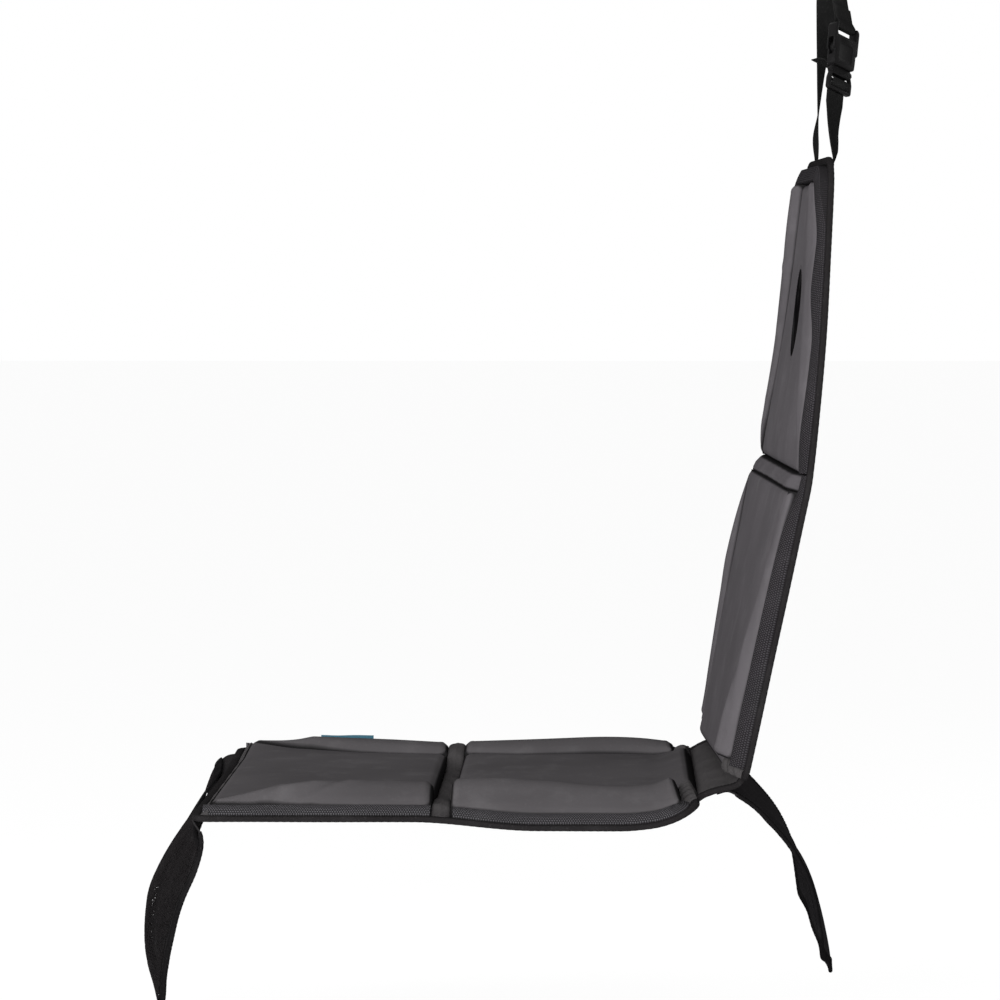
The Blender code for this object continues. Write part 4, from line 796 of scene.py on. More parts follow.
def bolsterGrid(section, sign):
    info = sections[section]
    low, high = info["bolster"]
    rows = int(round((high - low) / padding["cell"])) + 1
    s = np.linspace(low, high, rows)
    outer = outerWidth(section, s)
    inner = np.minimum(seamWidth(section, s), outer - padding["bolsterLeast"]) + padding["seamGap"] / 2
    columns = max(7, int(round(np.mean(outer - inner) / padding["cell"])) + 1)
    u = np.linspace(0.0, 1.0, columns)
    S = np.repeat(s[:, None], columns, axis=1)
    Y = inner[:, None] + (outer - inner)[:, None] * u[None, :]
    near = np.clip(endDistance(S, low, high) / padding["endRound"], 0.0, 1.0)
    along = 0.86 + 0.14 * np.sqrt(np.maximum(0.0, 1.0 - (1.0 - near) ** 2))
    crown = tableAt(info["farCrown" if sign > 0 else "nearCrown"], (s - low) / (high - low))[:, None]
    seam = info["seamHeight"][1 if sign > 0 else 0]
    size = np.minimum(1.0, (outer - inner) / 0.030)[:, None]
    sides = seam + (edgeHeight(section, s)[:, None] - seam) * u[None, :]
    top = sides + (crown - sides) * np.sin(math.pi * u[None, :] ** 0.7) * along * size
    top = top + ridgeLift(section, S, sign * Y) * np.sin(math.pi * u[None, :]) ** 0.5
    edge = np.minimum(np.minimum(u, 1.0 - u)[None, :] * (outer - inner)[:, None], endDistance(S, low, high))
    if sign < 0:
        S, Y, top, edge = S[:, ::-1], -Y[:, ::-1], top[:, ::-1], edge[:, ::-1]
    return S, Y, top, edge


def dropSeam(top, edge, drop=None):
    # the top rolls down into the seam at its rim
    drop = padding["seamDrop"] if drop is None else drop
    return top - drop * (1.0 - np.sqrt(np.clip(1.0 - (1.0 - np.clip(edge / padding["seamRadius"], 0, 1)) ** 2, 0, 1)))


def puffTogether(grids):
    # all the tops in one cloth run: rims pinned, foam as a weak pin, a little slack so that seams pucker
    points, faces, pins, start = [], [], [], 0
    for S, Y, top, edge in grids:
        rows, columns = S.shape
        points.append(np.stack([S, Y, top], axis=-1).reshape(-1, 3))
        index = start + np.arange(rows * columns).reshape(rows, columns)
        quads = np.stack([index[:-1, :-1], index[1:, :-1], index[1:, 1:], index[:-1, 1:]], axis=-1).reshape(-1, 4)
        faces.extend(quads.tolist())
        rim = np.zeros((rows, columns), bool)
        rim[[0, -1], :] = True
        rim[:, [0, -1]] = True
        pins.append(rim.ravel())
        start += rows * columns
    points, pins = np.vstack(points), np.concatenate(pins)
    mesh = bpy.data.meshes.new("padTops")
    mesh.from_pydata(points.tolist(), [], faces)
    obj = bpy.data.objects.new("padTops", mesh)
    bpy.context.collection.objects.link(obj)
    group = obj.vertex_groups.new(name="held")
    group.add(np.flatnonzero(pins).tolist(), 1.0, "REPLACE")
    group.add(np.flatnonzero(~pins).tolist(), 0.16, "REPLACE")
    cloth = obj.modifiers.new("puff", "CLOTH")
    settings = cloth.settings
    settings.quality = 4
    settings.mass = 0.25
    settings.tension_stiffness = 25.0
    settings.compression_stiffness = 25.0
    settings.shear_stiffness = 8.0
    settings.bending_stiffness = 1.5
    settings.tension_damping = settings.compression_damping = settings.shear_damping = 12.0
    settings.air_damping = 4.0
    settings.vertex_group_mass = "held"
    settings.pin_stiffness = 1.0
    settings.shrink_min = padding["slack"]
    settings.use_pressure = True
    settings.uniform_pressure_force = padding["pressure"]
    settings.effector_weights.gravity = 0.0
    cloth.collision_settings.use_collision = False
    cloth.point_cache.frame_start = 1
    cloth.point_cache.frame_end = padding["frames"]
    for f in range(1, padding["frames"] + 1):
        bpy.context.scene.frame_set(f)
    graph = bpy.context.evaluated_depsgraph_get()
    result = obj.evaluated_get(graph).to_mesh()
    moved = np.empty(len(result.vertices) * 3, np.float32)
    result.vertices.foreach_get("co", moved)
    moved = moved.reshape(-1, 3).astype(float)
    bpy.data.objects.remove(obj)
    bpy.context.scene.frame_set(1)
    step = moved - points
    length = np.linalg.norm(step, axis=1, keepdims=True)
    capped = padding["cap"] * np.tanh(length / padding["cap"])
    step = step * capped / np.maximum(length, 1e-9)
    print("  cloth run: mean move", round(float(length.mean()) * 1000, 2), "mm, most", round(float(length.max()) * 1000, 2), "mm")
    out, start = [], 0
    for S, Y, top, edge in grids:
        count = S.size
        part = easeOut(step[start:start + count].reshape(*S.shape, 3), padding["easing"])
        part = part * (1.0 - lensMask(S, Y) * (np.abs(Y) < lens["halfWidth"]))[..., None]
        out.append((S + part[..., 0], Y + part[..., 1], top + part[..., 2], edge))
        start += count
    return out


def refine(values):
    # twice as many rows and columns, through the old ones
    for axis in (0, 1):
        v = np.moveaxis(values, axis, 0)
        ends = np.concatenate([[2 * v[0] - v[1]], v, [2 * v[-1] - v[-2]]])
        middle = (9 * (ends[1:-2] + ends[2:-1]) - ends[:-3] - ends[3:]) / 16
        made = np.empty((2 * len(v) - 1, *v.shape[1:]))
        made[0::2] = v
        made[1::2] = middle
        values = np.moveaxis(made, 0, axis)
    return values


def markRim(obj, edge):
    # how far each point lies from the seam round the piece; the laminate finish paints seam shade from it
    rim = obj.data.attributes.new("rim", "FLOAT", "POINT")
    rim.data.foreach_set("value", np.concatenate([edge.ravel(), edge.ravel()]).astype(np.float32))


padNames, padGrids = [], []
for sectionName in sections:
    S, Y, top, edge = centreGrid(sectionName)
    padNames.append(f"{sectionName}_centre_pad")
    padGrids.append((S, Y, dropSeam(top, edge), edge))
    for side, sign in (("left", -1.0), ("right", 1.0)):
        S, Y, top, edge = bolsterGrid(sectionName, sign)
        padNames.append(f"{sectionName}_{side}_bolster")
        padGrids.append((S, Y, dropSeam(top, edge), edge))
print("pad tops drawn:", sum(g[0].size for g in padGrids), "points")
began = time.time()
padGrids = puffTogether(padGrids)
print("  took", round(time.time() - began, 1), "s")
for name, (S, Y, top, edge) in zip(padNames, padGrids):
    S, Y, top, edge = (refine(v) for v in (S, Y, top, edge))
    sectionName = "_".join(name.split("_")[:2])
    finish = sections[sectionName]["finish"]
    obj = slab(name + "_cushion", S, Y, top, np.full(S.shape, mat["padSeating"]), finish, angle=60)
    markRim(obj, edge)
    finishPiece(obj, "grey_laminate", name)
print("pads made:", len(padNames))

# ---- textured border strips outside the bolsters, carried round the rear and top corners

border = {"cell": 0.0030, "bulge": 0.0011, "across": 9}
evenOutline, evenAt = evenLine(outline, border["cell"])


def borderStrip(name, section, sign):
    info = sections[section]
    inner, outer = borderInner, mat["bindingWidth"] + 0.0006
    u = np.linspace(0.0, 1.0, border["across"])[None, :]
    if section in ("seat_front", "back_lower"):
        low = (0.0 if section == "seat_front" else neckEnd) + 0.0108
        high = info["end"] if section == "seat_front" else backFoldEnd
        s = np.linspace(low, high, int((high - low) / border["cell"]))
        inside = outerWidth(section, s) + 0.0006
        outside = widthAt(bindingLine, s)
        S = np.repeat(s[:, None], border["across"], axis=1)
        Y = inside[:, None] + (outside - inside)[:, None] * u
        along = S
    else:
        if section == "seat_rear":
            keep = (evenOutline[:, 0] > seatFoldEnd + 0.0006) & (evenOutline[:, 0] < neckStart + 1e-4)
            keep &= evenOutline[:, 1] > mat["neckHalf"] + 0.0105
        else:
            keep = evenOutline[:, 0] > backFoldEnd + 0.0006
        line = evenOutline
        insets = inner + (outer - inner) * u[0]
        S = np.stack([insetLine(line, d)[:, 0] for d in insets], axis=1)[keep]
        Y = np.stack([insetLine(line, d)[:, 1] for d in insets], axis=1)[keep]
        along = np.repeat(evenAt[keep][:, None], border["across"], axis=1)
        if section == "back_upper":
            Y[-1] = 0.0003
    slope = (1.0 - u) ** 0.9 + 0.0 * S
    low = mat["borderLow"] + (0.0135 - mat["borderLow"]) * smoothStep((S - matEnd + 0.075) / 0.045)
    top = low + (edgeHeight(section, S) - low) * slope + border["bulge"] * np.sin(math.pi * u)
    top = top + 0.0005 * np.sin(along * 70.0 + sign) * np.sin(math.pi * u)
    Y = sign * Y
    finish = "spacer" if section.startswith("seat") else "backSpacerDimmedCopy"
    obj = slab(name, S, Y, top, np.full(S.shape, mat["padSeating"]), finish, angle=50)
    across = (inner + (outer - inner) * u + 0.0 * S) * sign
    pattern = np.stack([np.broadcast_to(along, S.shape).ravel(), across.ravel()], axis=1)
    index = np.empty(len(obj.data.loops), np.int32)
    obj.data.loops.foreach_get("vertex_index", index)
    obj.data.uv_layers["pattern"].data.foreach_set("uv", np.vstack([pattern, pattern]).astype(np.float32)[index].ravel())
    finishPiece(obj, "side_border", f"{section}_{'left' if sign < 0 else 'right'}_border")


for sectionName in sections:
    for side, sign in (("left", -1.0), ("right", 1.0)):
        borderStrip(f"{sectionName}_{side}_edging", sectionName, sign)
print("borders made")

# ---- the bands at the two folds, the neck and the backing cloth

layers = {
    "bandTop": 0.0058, "farLift": 0.0158, "nearLift": 0.0080, "backBand": 0.0205, "backBandEnd": 0.0160,
    "farBand": 0.0040, "neckTop": 0.0075, "neckFold": 0.0011, "wave": 0.0004,
}


def foldBand(name, node, start, end, finish, line, height):
    s = np.linspace(start, end, 19)
    half = widthAt(line, s)
    u = np.linspace(-1.0, 1.0, 171)
    S = np.repeat(s[:, None], len(u), axis=1)
    Y = half[:, None] * u[None, :]
    share = (S - start) / (end - start)
    top = height(Y, share) - 0.0022 * np.abs(2 * share - 1) ** 5 + layers["wave"] * np.sin(Y * 120.0 + share * 5.0)
    top = top + 0.0005 * np.exp(-(((share - 0.5) / 0.10) ** 2))
    obj = slab(name, S, Y, top, np.full(S.shape, mat["padSeating"]), finish, angle=50)
    markRim(obj, endDistance(S, start, end))
    finishPiece(obj, "fold_cloth", node)


def frontFacing():
    # dark strip that slopes from the front pad's rim down to the binding
    s = np.linspace(mat["bindingWidth"] + 0.0006, frontPadStart - 0.0004, 9)
    half = mat["seatHalf"] - mat["bindingWidth"] - 0.0006
    S = np.repeat(s[:, None], 161, axis=1)
    Y = np.repeat(np.linspace(-half, half, 161)[None, :], len(s), axis=0)
    share = (S - s[0]) / (s[-1] - s[0])
    side = 1.0 - smoothStep((np.abs(Y) - half + 0.016) / 0.016)
    top = 0.0066 + (0.0148 - 0.0066) * share**0.7 * (0.35 + 0.65 * side) + 0.0004 * np.sin(Y * 90.0)
    obj = slab("seat_front_facing", S, Y, top, np.full(S.shape, mat["padSeating"]), "fold", angle=50)
    markRim(obj, endDistance(S, s[0], s[-1]))
    finishPiece(obj, "side_border")


frontFacing()


def neckSheet():
    start, end = neckStart + 0.0006, neckEnd - 0.0006
    half = mat["neckHalf"] - mat["bindingWidth"] - 0.0008
    s = np.linspace(start, end, 25)
    y = np.linspace(-half, half, 141)
    S = np.repeat(s[:, None], len(y), axis=1)
    Y = np.repeat(y[None, :], len(s), axis=0)
    share = (S - start) / (end - start)
    rounding = (1.0 - np.abs(2 * share - 1) ** 6) * (1.0 - np.abs(Y / half) ** 8)
    top = mat["backing"] + (layers["neckTop"] - mat["backing"]) * (0.45 + 0.55 * rounding)
    folds = np.sin(Y * 52.0 + 2.2 * np.sin(Y * 17.0) + share * 1.3) + 0.6 * np.sin(Y * 131.0 - share * 2.4)
    cross = np.sin(share * math.pi * 3.0 + 0.8 * np.sin(Y * 23.0))
    top = top + layers["neckFold"] * rounding * (0.45 * folds + 0.35 * cross)
    obj = slab("neck_cloth", S, Y, top, np.full(S.shape, mat["padSeating"]), "fold", angle=50)
    finishPiece(obj, "fold_cloth", "neck_panel")


def gusset(name, section, low, high, sign):
    # dark cloth tucked in between the end of a bolster, the pad and the neck
    s = np.linspace(low, high, 9)
    u = np.linspace(0.0, 1.0, 33)
    inner = seamWidth(section, s) + 0.0006
    S = np.repeat(s[:, None], len(u), axis=1)
    Y = inner[:, None] + (0.1895 - inner)[:, None] * u[None, :]
    share = (S - low) / (high - low)
    level = {"seat_rear": 0.0185, "back_lower": 0.0225}[section]
    top = level - (level - 0.0085) * u[None, :] ** 1.6 + 0.0007 * np.sin(Y * 520.0 + share * 2.0)
    top = top - 0.0025 * np.abs(2 * share - 1) ** 3
    obj = slab(name, S, sign * Y, top, np.full(S.shape, mat["padSeating"]), "fold", angle=50)
    finishPiece(obj, "fold_cloth")


def backingSheet(name, node, start, end):
    s = np.linspace(start, end, max(3, int((end - start) / 0.004)))
    half = widthAt(insetLine(outline, backingInset), s)
    if node == "neck_backing":
        half = np.full(s.shape, mat["neckHalf"] - backingInset)
    u = np.linspace(-1.0, 1.0, 75)
    S = np.repeat(s[:, None], len(u), axis=1)
    Y = half[:, None] * u[None, :]
    ripple = 0.00018 * (np.sin(S * 61.0 + 3 * np.sin(Y * 19.0)) + np.sin(Y * 83.0))
    rim = smoothStep(np.minimum((1 - np.abs(u))[None, :] * half[:, None], endDistance(S, start, end)) / 0.01)
    obj = slab(name, S, Y, np.full(S.shape, mat["backing"]), np.maximum(0.00002, ripple * rim + 0.0002 * rim), "backing", angle=50)
    finishPiece(obj, "non_slip_backing", node)


backingInset = mat["bindingWidth"] - 0.0010  # its edge lies inside the binding's fold


def seatFoldHeight(y, share):
    # low in the middle, lifted where the bolsters stand, down again at the binding
    a = np.abs(y)
    lift = np.where(y > 0, layers["farLift"], layers["nearLift"])
    return layers["bandTop"] + lift * smoothStep((a - 0.10) / 0.07) * (1.0 - smoothStep((a - 0.196) / 0.028))


def backFoldHeight(y, share):
    # as high as the pads on both sides of it, and higher on the far side
    a = y / mat["backFoldHalf"]
    far = layers["farBand"] * smoothStep(a) * (1.0 - share)
    end = 0.0100 * smoothStep((np.abs(a) - 0.72) / 0.16)
    return layers["backBand"] + (layers["backBandEnd"] - layers["backBand"]) * share + far - np.where(a < 0, end, 0.3 * end)


foldBand("seat_fold_strip", "seat_fold_band", seatFoldStart, seatFoldEnd, "fold", bindingLine, seatFoldHeight)
foldBand("back_fold_strip", "back_fold_band", backFoldStart, backFoldEnd, "backLaminateLitCopy", bolsterLine, backFoldHeight)
neckSheet()
for side, sign in (("left", -1.0), ("right", 1.0)):
    for label, section, low, high in (("seat", "seat_rear", sections["seat_rear"]["bolster"][1] + 0.0004, neckStart - 0.0006),
                                      ("back", "back_lower", neckEnd + 0.0006, sections["back_lower"]["bolster"][0] - 0.0004)):
        gusset(f"{label}_{side}_gusset", section, low, high, sign)
backingSheet("seat_underside_cloth", "seat_backing", backingInset, neckStart - backingInset)
backingSheet("neck_underside_cloth", "neck_backing", neckStart - backingInset + 0.0003, neckEnd + backingInset - 0.0003)
backingSheet("back_rear_cloth", "back_backing", neckEnd + backingInset, matEnd - backingInset)
print("bands, neck and backing made")

# ---- binding tape round the whole edge, and its row of stitches

binding = {"step": 0.0018, "profile": 16, "power": 3.2, "pucker": 0.00016, "puckerPitch": 0.0072}


def fullLoop(line):
    half = line[1:-1]
    return np.vstack([half, np.stack([half[::-1, 0], -half[::-1, 1]], axis=1)])


def bandRing(inset0, inset1, low, high, count, power):
    # a rounded flat section as (inset, height)
    a = np.linspace(0.0, 2 * math.pi, count, endpoint=False)
    x = np.sign(np.cos(a)) * np.abs(np.cos(a)) ** (2 / power)
    z = np.sign(np.sin(a)) * np.abs(np.sin(a)) ** (2 / power)
    return (inset0 + inset1) / 2 + x * (inset1 - inset0) / 2, (low + high) / 2 + z * (high - low) / 2


def tubeFaces(rows, count, closed):
    faces = []
    for i in range(rows if closed else rows - 1):
        k = (i + 1) % rows
        for j in range(count):
            m = (j + 1) % count
            faces.append((i * count + j, i * count + m, k * count + m, k * count + j))
    if not closed:
        faces.append(tuple(range(count))[::-1])
        faces.append(tuple((rows - 1) * count + j for j in range(count)))
    return faces


def matBinding():
    loop, at = evenLine(fullLoop(outline), binding["step"], closed=True)
    insets, heights = bandRing(0.0, mat["bindingWidth"], 0.0, mat["bindingTop"], binding["profile"], binding["power"])
    ripple = binding["pucker"] * (np.sin(at * 2 * math.pi / binding["puckerPitch"]) + np.sin(at * 47.0))
    rings, patterns = [], []
    for inset, height in zip(insets, heights):
        flat = insetLine(loop, np.full(len(loop), inset), closed=True)
        lift = np.where(height > mat["bindingTop"] / 2, ripple - binding["pucker"], -ripple + binding["pucker"] * 1.5)
        rings.append(lay(flat[:, 0], flat[:, 1], np.maximum(0.0, height + lift * min(1.0, inset / 0.004))))
        patterns.append(np.stack([at, np.full(len(at), inset + height)], axis=1))
    points = np.stack(rings, axis=1).reshape(-1, 3)
    obj = newPiece("edge_tape", points, tubeFaces(len(loop), len(insets), True), "binding",
                   np.stack(patterns, axis=1).reshape(-1, 2))
    finishPiece(obj, "black_binding", "edge_binding")


matBinding()


def stitchTree():
    # stitches along a curve: evenly spaced, each turned along the seam
    tree = bpy.data.node_groups.new("stitchRow", "GeometryNodeTree")
    tree.interface.new_socket("Seam", in_out="INPUT", socket_type="NodeSocketGeometry")
    for name, value in (("Pitch", 0.0032), ("Length", 0.0023), ("Thickness", 0.00022)):
        socket = tree.interface.new_socket(name, in_out="INPUT", socket_type="NodeSocketFloat")
        socket.default_value = value
    tree.interface.new_socket("Thread", in_out="INPUT", socket_type="NodeSocketMaterial")
    tree.interface.new_socket("Stitches", in_out="OUTPUT", socket_type="NodeSocketGeometry")
    given, made = tree.nodes.new("NodeGroupInput"), tree.nodes.new("NodeGroupOutput")
    link = tree.links.new
    spaced = tree.nodes.new("GeometryNodeResampleCurve")
    spaced.mode = "LENGTH"
    link(given.outputs["Seam"], spaced.inputs["Curve"])
    link(given.outputs["Pitch"], spaced.inputs["Length"])
    tangent = tree.nodes.new("GeometryNodeInputTangent")
    turn = tree.nodes.new("FunctionNodeAlignRotationToVector")
    turn.axis = "Z"
    link(tangent.outputs[0], turn.inputs["Vector"])
    bead = tree.nodes.new("GeometryNodeMeshUVSphere")
    bead.inputs["Segments"].default_value = 6
    bead.inputs["Rings"].default_value = 5
    bead.inputs["Radius"].default_value = 1.0
    size = tree.nodes.new("ShaderNodeCombineXYZ")
    half = tree.nodes.new("ShaderNodeMath")
    half.operation = "MULTIPLY"
    half.inputs[1].default_value = 0.5
    link(given.outputs["Length"], half.inputs[0])
    link(given.outputs["Thickness"], size.inputs["X"])
    link(given.outputs["Thickness"], size.inputs["Y"])
    link(half.outputs[0], size.inputs["Z"])
    place = tree.nodes.new("GeometryNodeInstanceOnPoints")
    link(spaced.outputs["Curve"], place.inputs["Points"])
    link(bead.outputs["Mesh"], place.inputs["Instance"])
    link(turn.outputs["Rotation"], place.inputs["Rotation"])
    link(size.outputs[0], place.inputs["Scale"])
    real = tree.nodes.new("GeometryNodeRealizeInstances")
    link(place.outputs["Instances"], real.inputs["Geometry"])
    paint = tree.nodes.new("GeometryNodeSetMaterial")
    link(real.outputs["Geometry"], paint.inputs["Geometry"])
    link(given.outputs["Thread"], paint.inputs["Material"])
    link(paint.outputs["Geometry"], made.inputs["Stitches"])
    return tree


def runTree(name, source, tree, values):
    # evaluates a Geometry Nodes tree on an object and keeps the result as a plain mesh
    step = source.modifiers.new("make", "NODES")
    step.node_group = tree
    sockets = {item.name: item.identifier for item in tree.interface.items_tree if item.in_out == "INPUT"}
    for key, value in values.items():
        step[sockets[key]] = value
    bpy.context.view_layer.update()
    graph = bpy.context.evaluated_depsgraph_get()
    mesh = bpy.data.meshes.new_from_object(source.evaluated_get(graph))
    bpy.data.objects.remove(source)
    mesh.name = name
    obj = bpy.data.objects.new(name, mesh)
    bpy.context.collection.objects.link(obj)
    mesh.shade_smooth()
    return obj


stitchRow = stitchTree()


def seamCurve(lines, closed=False):
    data = bpy.data.curves.new("seamLines", "CURVE")
    data.dimensions = "3D"
    for line in lines:
        run = data.splines.new("POLY")
        run.points.add(len(line) - 1)
        run.points.foreach_set("co", np.hstack([line, np.ones((len(line), 1))]).ravel())
        run.use_cyclic_u = closed
    obj = bpy.data.objects.new("seamLines", data)
    bpy.context.collection.objects.link(obj)
    return obj


def sewLines(name, slotName, lines, closed=False, pitch=0.0034, length=0.0025, thickness=0.00024):
    values = {"Pitch": pitch, "Length": length, "Thickness": thickness, "Thread": finishes["thread"]}
    obj = runTree(name, seamCurve(lines, closed), stitchRow, values)
    return finishPiece(obj, slotName)


bindingSeam, _ = evenLine(fullLoop(outline), 0.004, closed=True)
bindingSeam = insetLine(bindingSeam, np.full(len(bindingSeam), 0.0071), closed=True)
sewLines("edge_stitches", "black_binding", [lay(bindingSeam[:, 0], bindingSeam[:, 1], mat["bindingTop"] - 0.0002)], closed=True)
print("binding made")

# ---- plain flush panel on the upper back, with a ring of stitches; its near-black colour is dark cloth with painted shade of a shallow recess


def lensPanel():
    r = np.linspace(0.0, 0.95, 13)[:, None]
    a = np.linspace(0.0, 2 * math.pi, 72, endpoint=False)[None, :]
    S = backFoldEnd + lens["at"] + lens["halfLength"] * r * np.cos(a)
    Y = lens["halfWidth"] * r * np.sin(a)
    top = padTop("back_upper", S, Y) + lens["proud"] - 0.0006 * (r / 0.95) ** 8
    low = top - 0.0016
    rows, columns = S.shape
    upper, lower = lay(S, Y, top)[1:].reshape(-1, 3), lay(S, Y, low)[1:].reshape(-1, 3)
    points = np.vstack([upper, lower, lay(S[0, :1], Y[0, :1], top[0, :1]), lay(S[0, :1], Y[0, :1], low[0, :1])])
    count = (rows - 1) * columns
    faces = []
    for j in range(columns):
        k = (j + 1) % columns
        for i in range(rows - 2):
            faces.append((i * columns + j, (i + 1) * columns + j, (i + 1) * columns + k, i * columns + k))
            faces.append((count + i * columns + j, count + i * columns + k, count + (i + 1) * columns + k,
                          count + (i + 1) * columns + j))
        rim = (rows - 2) * columns
        faces.append((rim + j, count + rim + j, count + rim + k, rim + k))
        faces.append((2 * count, j, k))
        faces.append((2 * count + 1, count + k, count + j))
    pattern = np.stack([S[1:].ravel(), Y[1:].ravel()], axis=1)
    centre = np.array([[S[0, 0], 0.0]])
    obj = newPiece("sunk_panel", points, faces, "lens", np.vstack([pattern, pattern, centre, centre]), angle=40)
    finishPiece(obj, "grey_laminate")
    ring = np.linspace(0.0, 2 * math.pi, 120, endpoint=False)
    s = backFoldEnd + lens["at"] + lens["halfLength"] * 1.03 * np.cos(ring)
    y = lens["halfWidth"] * 1.03 * np.sin(ring)
    sewLines("sunk_panel_stitches", "grey_laminate", [lay(s, y, padTop("back_upper", s, y) + 0.0001)], closed=True)


lensPanel()
print("sunk panel made")

# ---- front flap with its netting pocket, and the tuck-in flap behind

frontFlap = {
    "length": 0.258, "half": 0.205, "shoulderAt": 0.085, "hipAt": 0.195, "hipHalf": 0.132, "endHalf": 0.050,
    "corner": 0.11, "thickness": 0.0016, "tapeWidth": 0.010, "endSkew": -0.130,
    "middle": ((0.0006, 0.0020), (-0.0046, -0.0060), (-0.0125, -0.0200), (-0.0225, -0.0370), (-0.0335, -0.0550),
               (-0.0450, -0.0750), (-0.0590, -0.1050), (-0.0640, -0.1370), (-0.0640, -0.1670), (-0.0600, -0.1950),
               (-0.0560, -0.2320)),
    "near": ((0.0006, 0.0020), (-0.0012, -0.0022), (0.0006, -0.0068), (0.0045, -0.0160), (0.0040, -0.0300),
             (-0.0040, -0.0520), (-0.0180, -0.0840), (-0.0260, -0.1250), (-0.0330, -0.1640), (-0.0390, -0.2150)),
    "far": ((0.0006, 0.0020), (-0.0078, 0.0005), (-0.0150, -0.0060), (-0.0200, -0.0200), (-0.0210, -0.0400),
            (-0.0230, -0.0620), (-0.0270, -0.0900), (-0.0310, -0.1250), (-0.0340, -0.1640), (-0.0390, -0.2150)),
}
pocket = {
    "clearance": 0.0016, "mouthAt": 0.0035, "nearDip": 0.026, "farDip": 0.010, "swell": 0.0062, "mouthDepth": 0.0012,
    "hemWidth": 0.010, "hemThickness": 0.0024, "pitch": 0.0040, "thread": 0.00056,
}
rearFlap = {
    "length": 0.250, "half": 0.164, "cornerAt": 0.188, "cornerHalf": 0.126, "endHalf": 0.040, "thickness": 0.0018,
    "tapeWidth": 0.010, "sewnAt": neckStart + mat["riseLength"] * 0.55,
    "middle": ((0.000, 0.000), (0.012, 0.0020), (0.026, -0.005), (0.034, -0.014), (0.042, -0.026), (0.057, -0.044),
               (0.076, -0.062), (0.091, -0.083), (0.102, -0.107), (0.111, -0.137), (0.118, -0.166), (0.122, -0.186),
               (0.1235, -0.200)),
    "edge": ((0.000, 0.000), (0.012, 0.0020), (0.026, -0.006), (0.043, -0.018), (0.060, -0.034), (0.075, -0.053),
             (0.087, -0.078), (0.0945, -0.103), (0.0965, -0.130), (0.0965, -0.160), (0.094, -0.190), (0.090, -0.222)),
}


def sideTable(points):
    # a side view as x and z against its share of the length
    line = curveThrough(points, 10)
    runs = np.concatenate([[0.0], np.cumsum(np.linalg.norm(np.diff(line, axis=0), axis=1))])
    return runs / runs[-1], line[:, 0], line[:, 1]


frontTables = {key: sideTable(frontFlap[key]) for key in ("middle", "near", "far")}
rearTables = {"middle": sideTable(rearFlap["middle"]), "edge": sideTable(rearFlap["edge"])}
rearAnchor = lay(rearFlap["sewnAt"], 0.0, -(0.0009 + rearFlap["thickness"] / 2))


def frontSurface(d, y):
    share = np.clip(d / frontFlap["length"], 0.0, 1.0)
    side = np.clip((y / frontFlap["half"]) ** 2, 0.0, 1.0)
    sx, x, z = frontTables["middle"]
    px, pz = np.interp(share, sx, x), np.interp(share, sx, z)
    for key, chosen in (("near", y < 0), ("far", y >= 0)):
        sx, x, z = frontTables[key]
        weight = np.where(chosen, side, 0.0)
        px = px + (np.interp(share, sx, x) - np.interp(share, *frontTables["middle"][:2])) * weight
        pz = pz + (np.interp(share, sx, z) - np.interp(share, frontTables["middle"][0], frontTables["middle"][2])) * weight
    lift = mat["cornerLift"] * smoothStep((y - 0.10) / 0.12) * (1.0 - share) ** 2
    over = d - share * frontFlap["length"]
    fold = smoothStep((share - 0.06) / 0.2) * (1.0 - 0.3 * share)
    wave = 0.0016 * np.sin(y * 47.0 + share * 2.0) + 0.0010 * np.sin(y * 96.0 - share * 4.0 + 1.0)
    skew = mat["seatSkew"] + (frontFlap["endSkew"] - mat["seatSkew"]) * share
    x = -mat["seatLength"] / 2 + px + y * skew + wave * fold
    return np.stack([x, y + 0.0 * x, pz - over + lift], axis=-1)


def rearSurface(d, y):
    share = np.clip(d / rearFlap["length"], 0.0, 1.0)
    side = np.clip((y / rearFlap["half"]) ** 2, 0.0, 1.0)
    sx, x, z = rearTables["middle"]
    ex, fx, fz = rearTables["edge"]
    px = np.interp(share, sx, x) * (1 - side) + np.interp(share, ex, fx) * side
    pz = np.interp(share, sx, z) * (1 - side) + np.interp(share, ex, fz) * side
    fold = smoothStep((share - 0.08) / 0.25)
    wave = 0.0014 * np.sin(y * 58.0 + share * 3.0) + 0.0008 * np.sin(y * 117.0 - share * 5.0)
    over = d - share * rearFlap["length"]
    x = rearAnchor[0] + px + wave * fold
    return np.stack([x, y + 0.0 * x, rearAnchor[2] + pz - over], axis=-1)


def offsetFrom(surface, d, y, h):
    d, y, h = np.broadcast_arrays(np.asarray(d, float), np.asarray(y, float), np.asarray(h, float))
    step = 4e-4
    da = surface(d + step, y) - surface(np.maximum(0.0, d - step), y)
    db = surface(d, y + step) - surface(d, y - step)
    normal = np.cross(da, db)
    normal /= np.maximum(np.linalg.norm(normal, axis=-1, keepdims=True), 1e-12)
    return surface(d, y) + normal * h[..., None]


def flapLine(info, first, second, corner):
    if info is frontFlap:
        corners = ((0.0, info["half"], 0.0), (info["shoulderAt"], info["half"], corner),
                   (info["hipAt"], info["hipHalf"], corner), (info["length"], info["endHalf"], corner / 3),
                   (info["length"], 0.0, 0.0))
    else:
        corners = ((0.0, info["half"], 0.0), (info["cornerAt"], info["cornerHalf"], first),
                   (info["length"], info["endHalf"], second), (info["length"], 0.0, 0.0))
    return roundedLine(corners, 0.05)


frontLine = flapLine(frontFlap, 0.0, 0.0, frontFlap["corner"])
rearLine = flapLine(rearFlap, 0.012, 0.020, 0.0)


